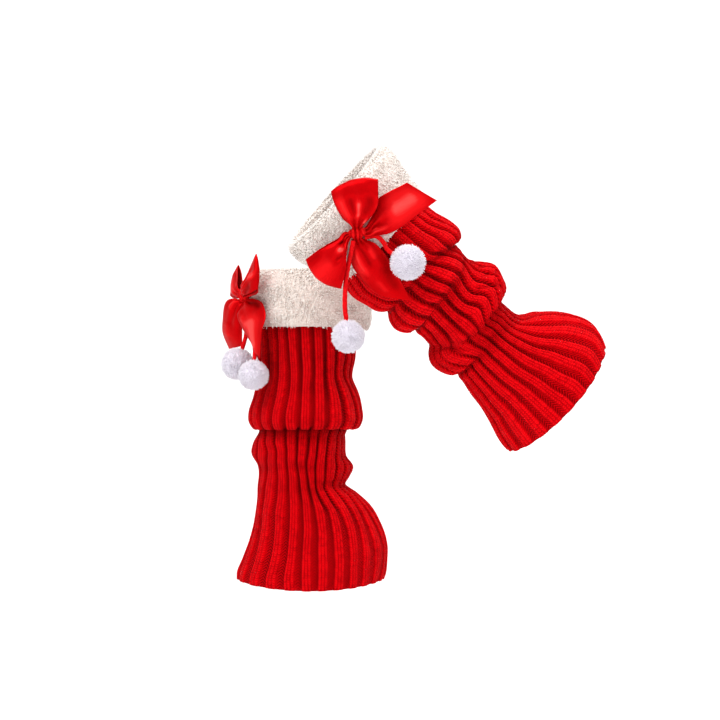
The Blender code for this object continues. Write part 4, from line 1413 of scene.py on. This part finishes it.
# Ribbons' creases: points of (share across, run), width, depth, and how much lighter the satin is painted
# there: a painted highlight above 0, painted shade below.
# Pleats: how many across, how tall and how long they are, and where they start.
add_ribbon("standing_bow_loop_a", STANDING_BOW, STANDING_LOOP_A, (
    (((0.9, 16), (0.6, 24), (0.3, 34)), 6, -1.2, -0.34),
    (((0.2, 42), (0, 34), (-0.3, 28)), 3, 1.2, 0.40),
    (((-0.5, 8), (-0.45, 20), (-0.6, 34)), 2.4, 0.8, 0.15),
    (((0.1, 50), (0.2, 62), (0.1, 72)), 3, 1, 0.16),
    (((0.7, 46), (0.8, 60), (0.7, 74)), 3.4, -1, -0.24),
), (3.3, 1.6, 14, 0.3), 1.5, True)
add_ribbon("standing_bow_loop_b", STANDING_BOW, STANDING_LOOP_B, (
    (((0.3, 10), (0.1, 22), (0, 34)), 6, 1, 0.26),
    (((-0.8, 10), (-0.7, 22), (-0.7, 34)), 2.6, -1.2, -0.25),
    (((0.8, 8), (0.85, 20), (0.8, 30)), 2.4, -1, -0.20),
    (((0, 46), (0.1, 60)), 4, -1, -0.25),
), (3, 1.4, 13, 1.2), 1.5, True)
add_ribbon("standing_bow_tail_a", STANDING_BOW, STANDING_TAIL_A, (
    (((0.25, 8), (0.5, 18), (0.75, 30)), 5, -1.8, -0.36),
    (((-0.1, 26), (0.05, 46), (0.2, 72)), 9, 1.2, 0.44),
    (((-0.65, 24), (-0.5, 34), (-0.4, 42)), 4, 1, 0.18),
    (((-0.55, 8), (-0.75, 18)), 2.6, -1, -0.24),
), (3.2, 1.4, 13, 0.5))
add_ribbon("standing_bow_tail_b", STANDING_BOW, STANDING_TAIL_B, (
    (((-0.5, 8), (-0.35, 16), (-0.3, 24)), 3.2, 1.3, 0.30),
    (((0.1, 8), (0.15, 24), (-0.1, 42)), 4, -1.2, -0.14),
    (((0.75, 12), (0.8, 28), (0.8, 46)), 3.4, -1, -0.22),
    (((-0.3, 34), (-0.2, 50)), 8, 0.8, 0.12),
), (2.8, 1.4, 13, 0.9))
add_ribbon("raised_bow_loop_a", RAISED_BOW, RAISED_LOOP_A, (
    (((-0.28, 36), (-0.22, 28), (-0.12, 16)), 3.6, -1.6, -0.32),
    (((0.14, 33), (0.08, 26), (0, 14)), 2.8, 1.6, 0.46),
    (((0.62, 37), (0.62, 28), (0.4, 14)), 5.4, -1.8, -0.32),
    (((-0.72, 38), (-0.66, 28), (-0.45, 12)), 3.8, 1.3, 0.26),
    (((0.9, 36), (0.92, 20)), 2, 0.8, 0.18),
    (((0.5, 8), (0.75, 14)), 1.6, 1.2, 0.36),
    (((-0.1, 56), (0, 68)), 5, -1, -0.20),
), (3.1, 1.8, 16, 0.2), 2.2, True)
add_ribbon("raised_bow_loop_b", RAISED_BOW, RAISED_LOOP_B, (
    (((-0.75, 18), (-0.3, 12), (0.2, 10)), 2, -1.8, -0.42),
    (((-0.42, 21), (0, 19), (0.35, 15)), 2.6, 1.8, 0.50),
    (((-0.1, 29), (0.25, 25), (0.5, 18)), 2.8, -1.4, -0.26),
    (((-0.2, 50), (-0.15, 40), (-0.1, 29)), 9, 0.8, 0.16),
    (((0.85, 44), (0.85, 22)), 3, -1, -0.22),
    (((-0.85, 48), (-0.85, 32)), 3.4, -1, -0.24),
    (((0, 60), (0.1, 76)), 5, -1, -0.20),
), (3.4, 1.7, 15, 1), 2.6, True)
add_ribbon("raised_bow_tail_a", RAISED_BOW, RAISED_TAIL_A, (
    (((-0.05, 66), (0, 46), (-0.1, 27)), 13, 0.6, 0.36),
    (((-0.8, 8), (-0.75, 18), (-0.8, 28)), 3.4, -1.4, -0.38),
    (((0, 8), (0.1, 16), (0.2, 24)), 2, -1.2, -0.30),
    (((0.5, 8), (0.6, 18), (0.62, 30)), 2.2, 1.2, 0.24),
    (((0.3, 9), (0.38, 18)), 1.6, 1, 0.30),
    (((0.85, 10), (0.9, 26)), 2, -0.8, -0.26),
), (3, 1.6, 14, 0.6))
add_ribbon("raised_bow_tail_b", RAISED_BOW, RAISED_TAIL_B, (
    (((-0.6, 10), (-0.55, 24), (-0.5, 42)), 3.6, 1.6, 0.28),
    (((-0.15, 8), (-0.05, 20), (0, 36)), 3, -1.8, -0.34),
    (((0.35, 14), (0.4, 28)), 3, 1.3, 0.20),
    (((0.5, 64), (0.5, 48), (0.62, 30)), 7, -0.8, -0.30),
    (((-0.2, 62), (-0.2, 44)), 4.6, 0.8, 0.12),
    (((0.97, 18), (0.97, 62)), 1.2, 0, 0.30),
    (((-0.95, 16), (-0.95, 60)), 1.6, -0.4, -0.22),
), (3.3, 1.6, 14, 0.1))

pompoms = {node: add_pompom(node, *rest) for node, *rest in POMPOMS}
for name, (item, line, length) in cords.items():
    tuple(line[0])

add_stage()
bpy.context.scene.view_settings.view_transform = "Standard"
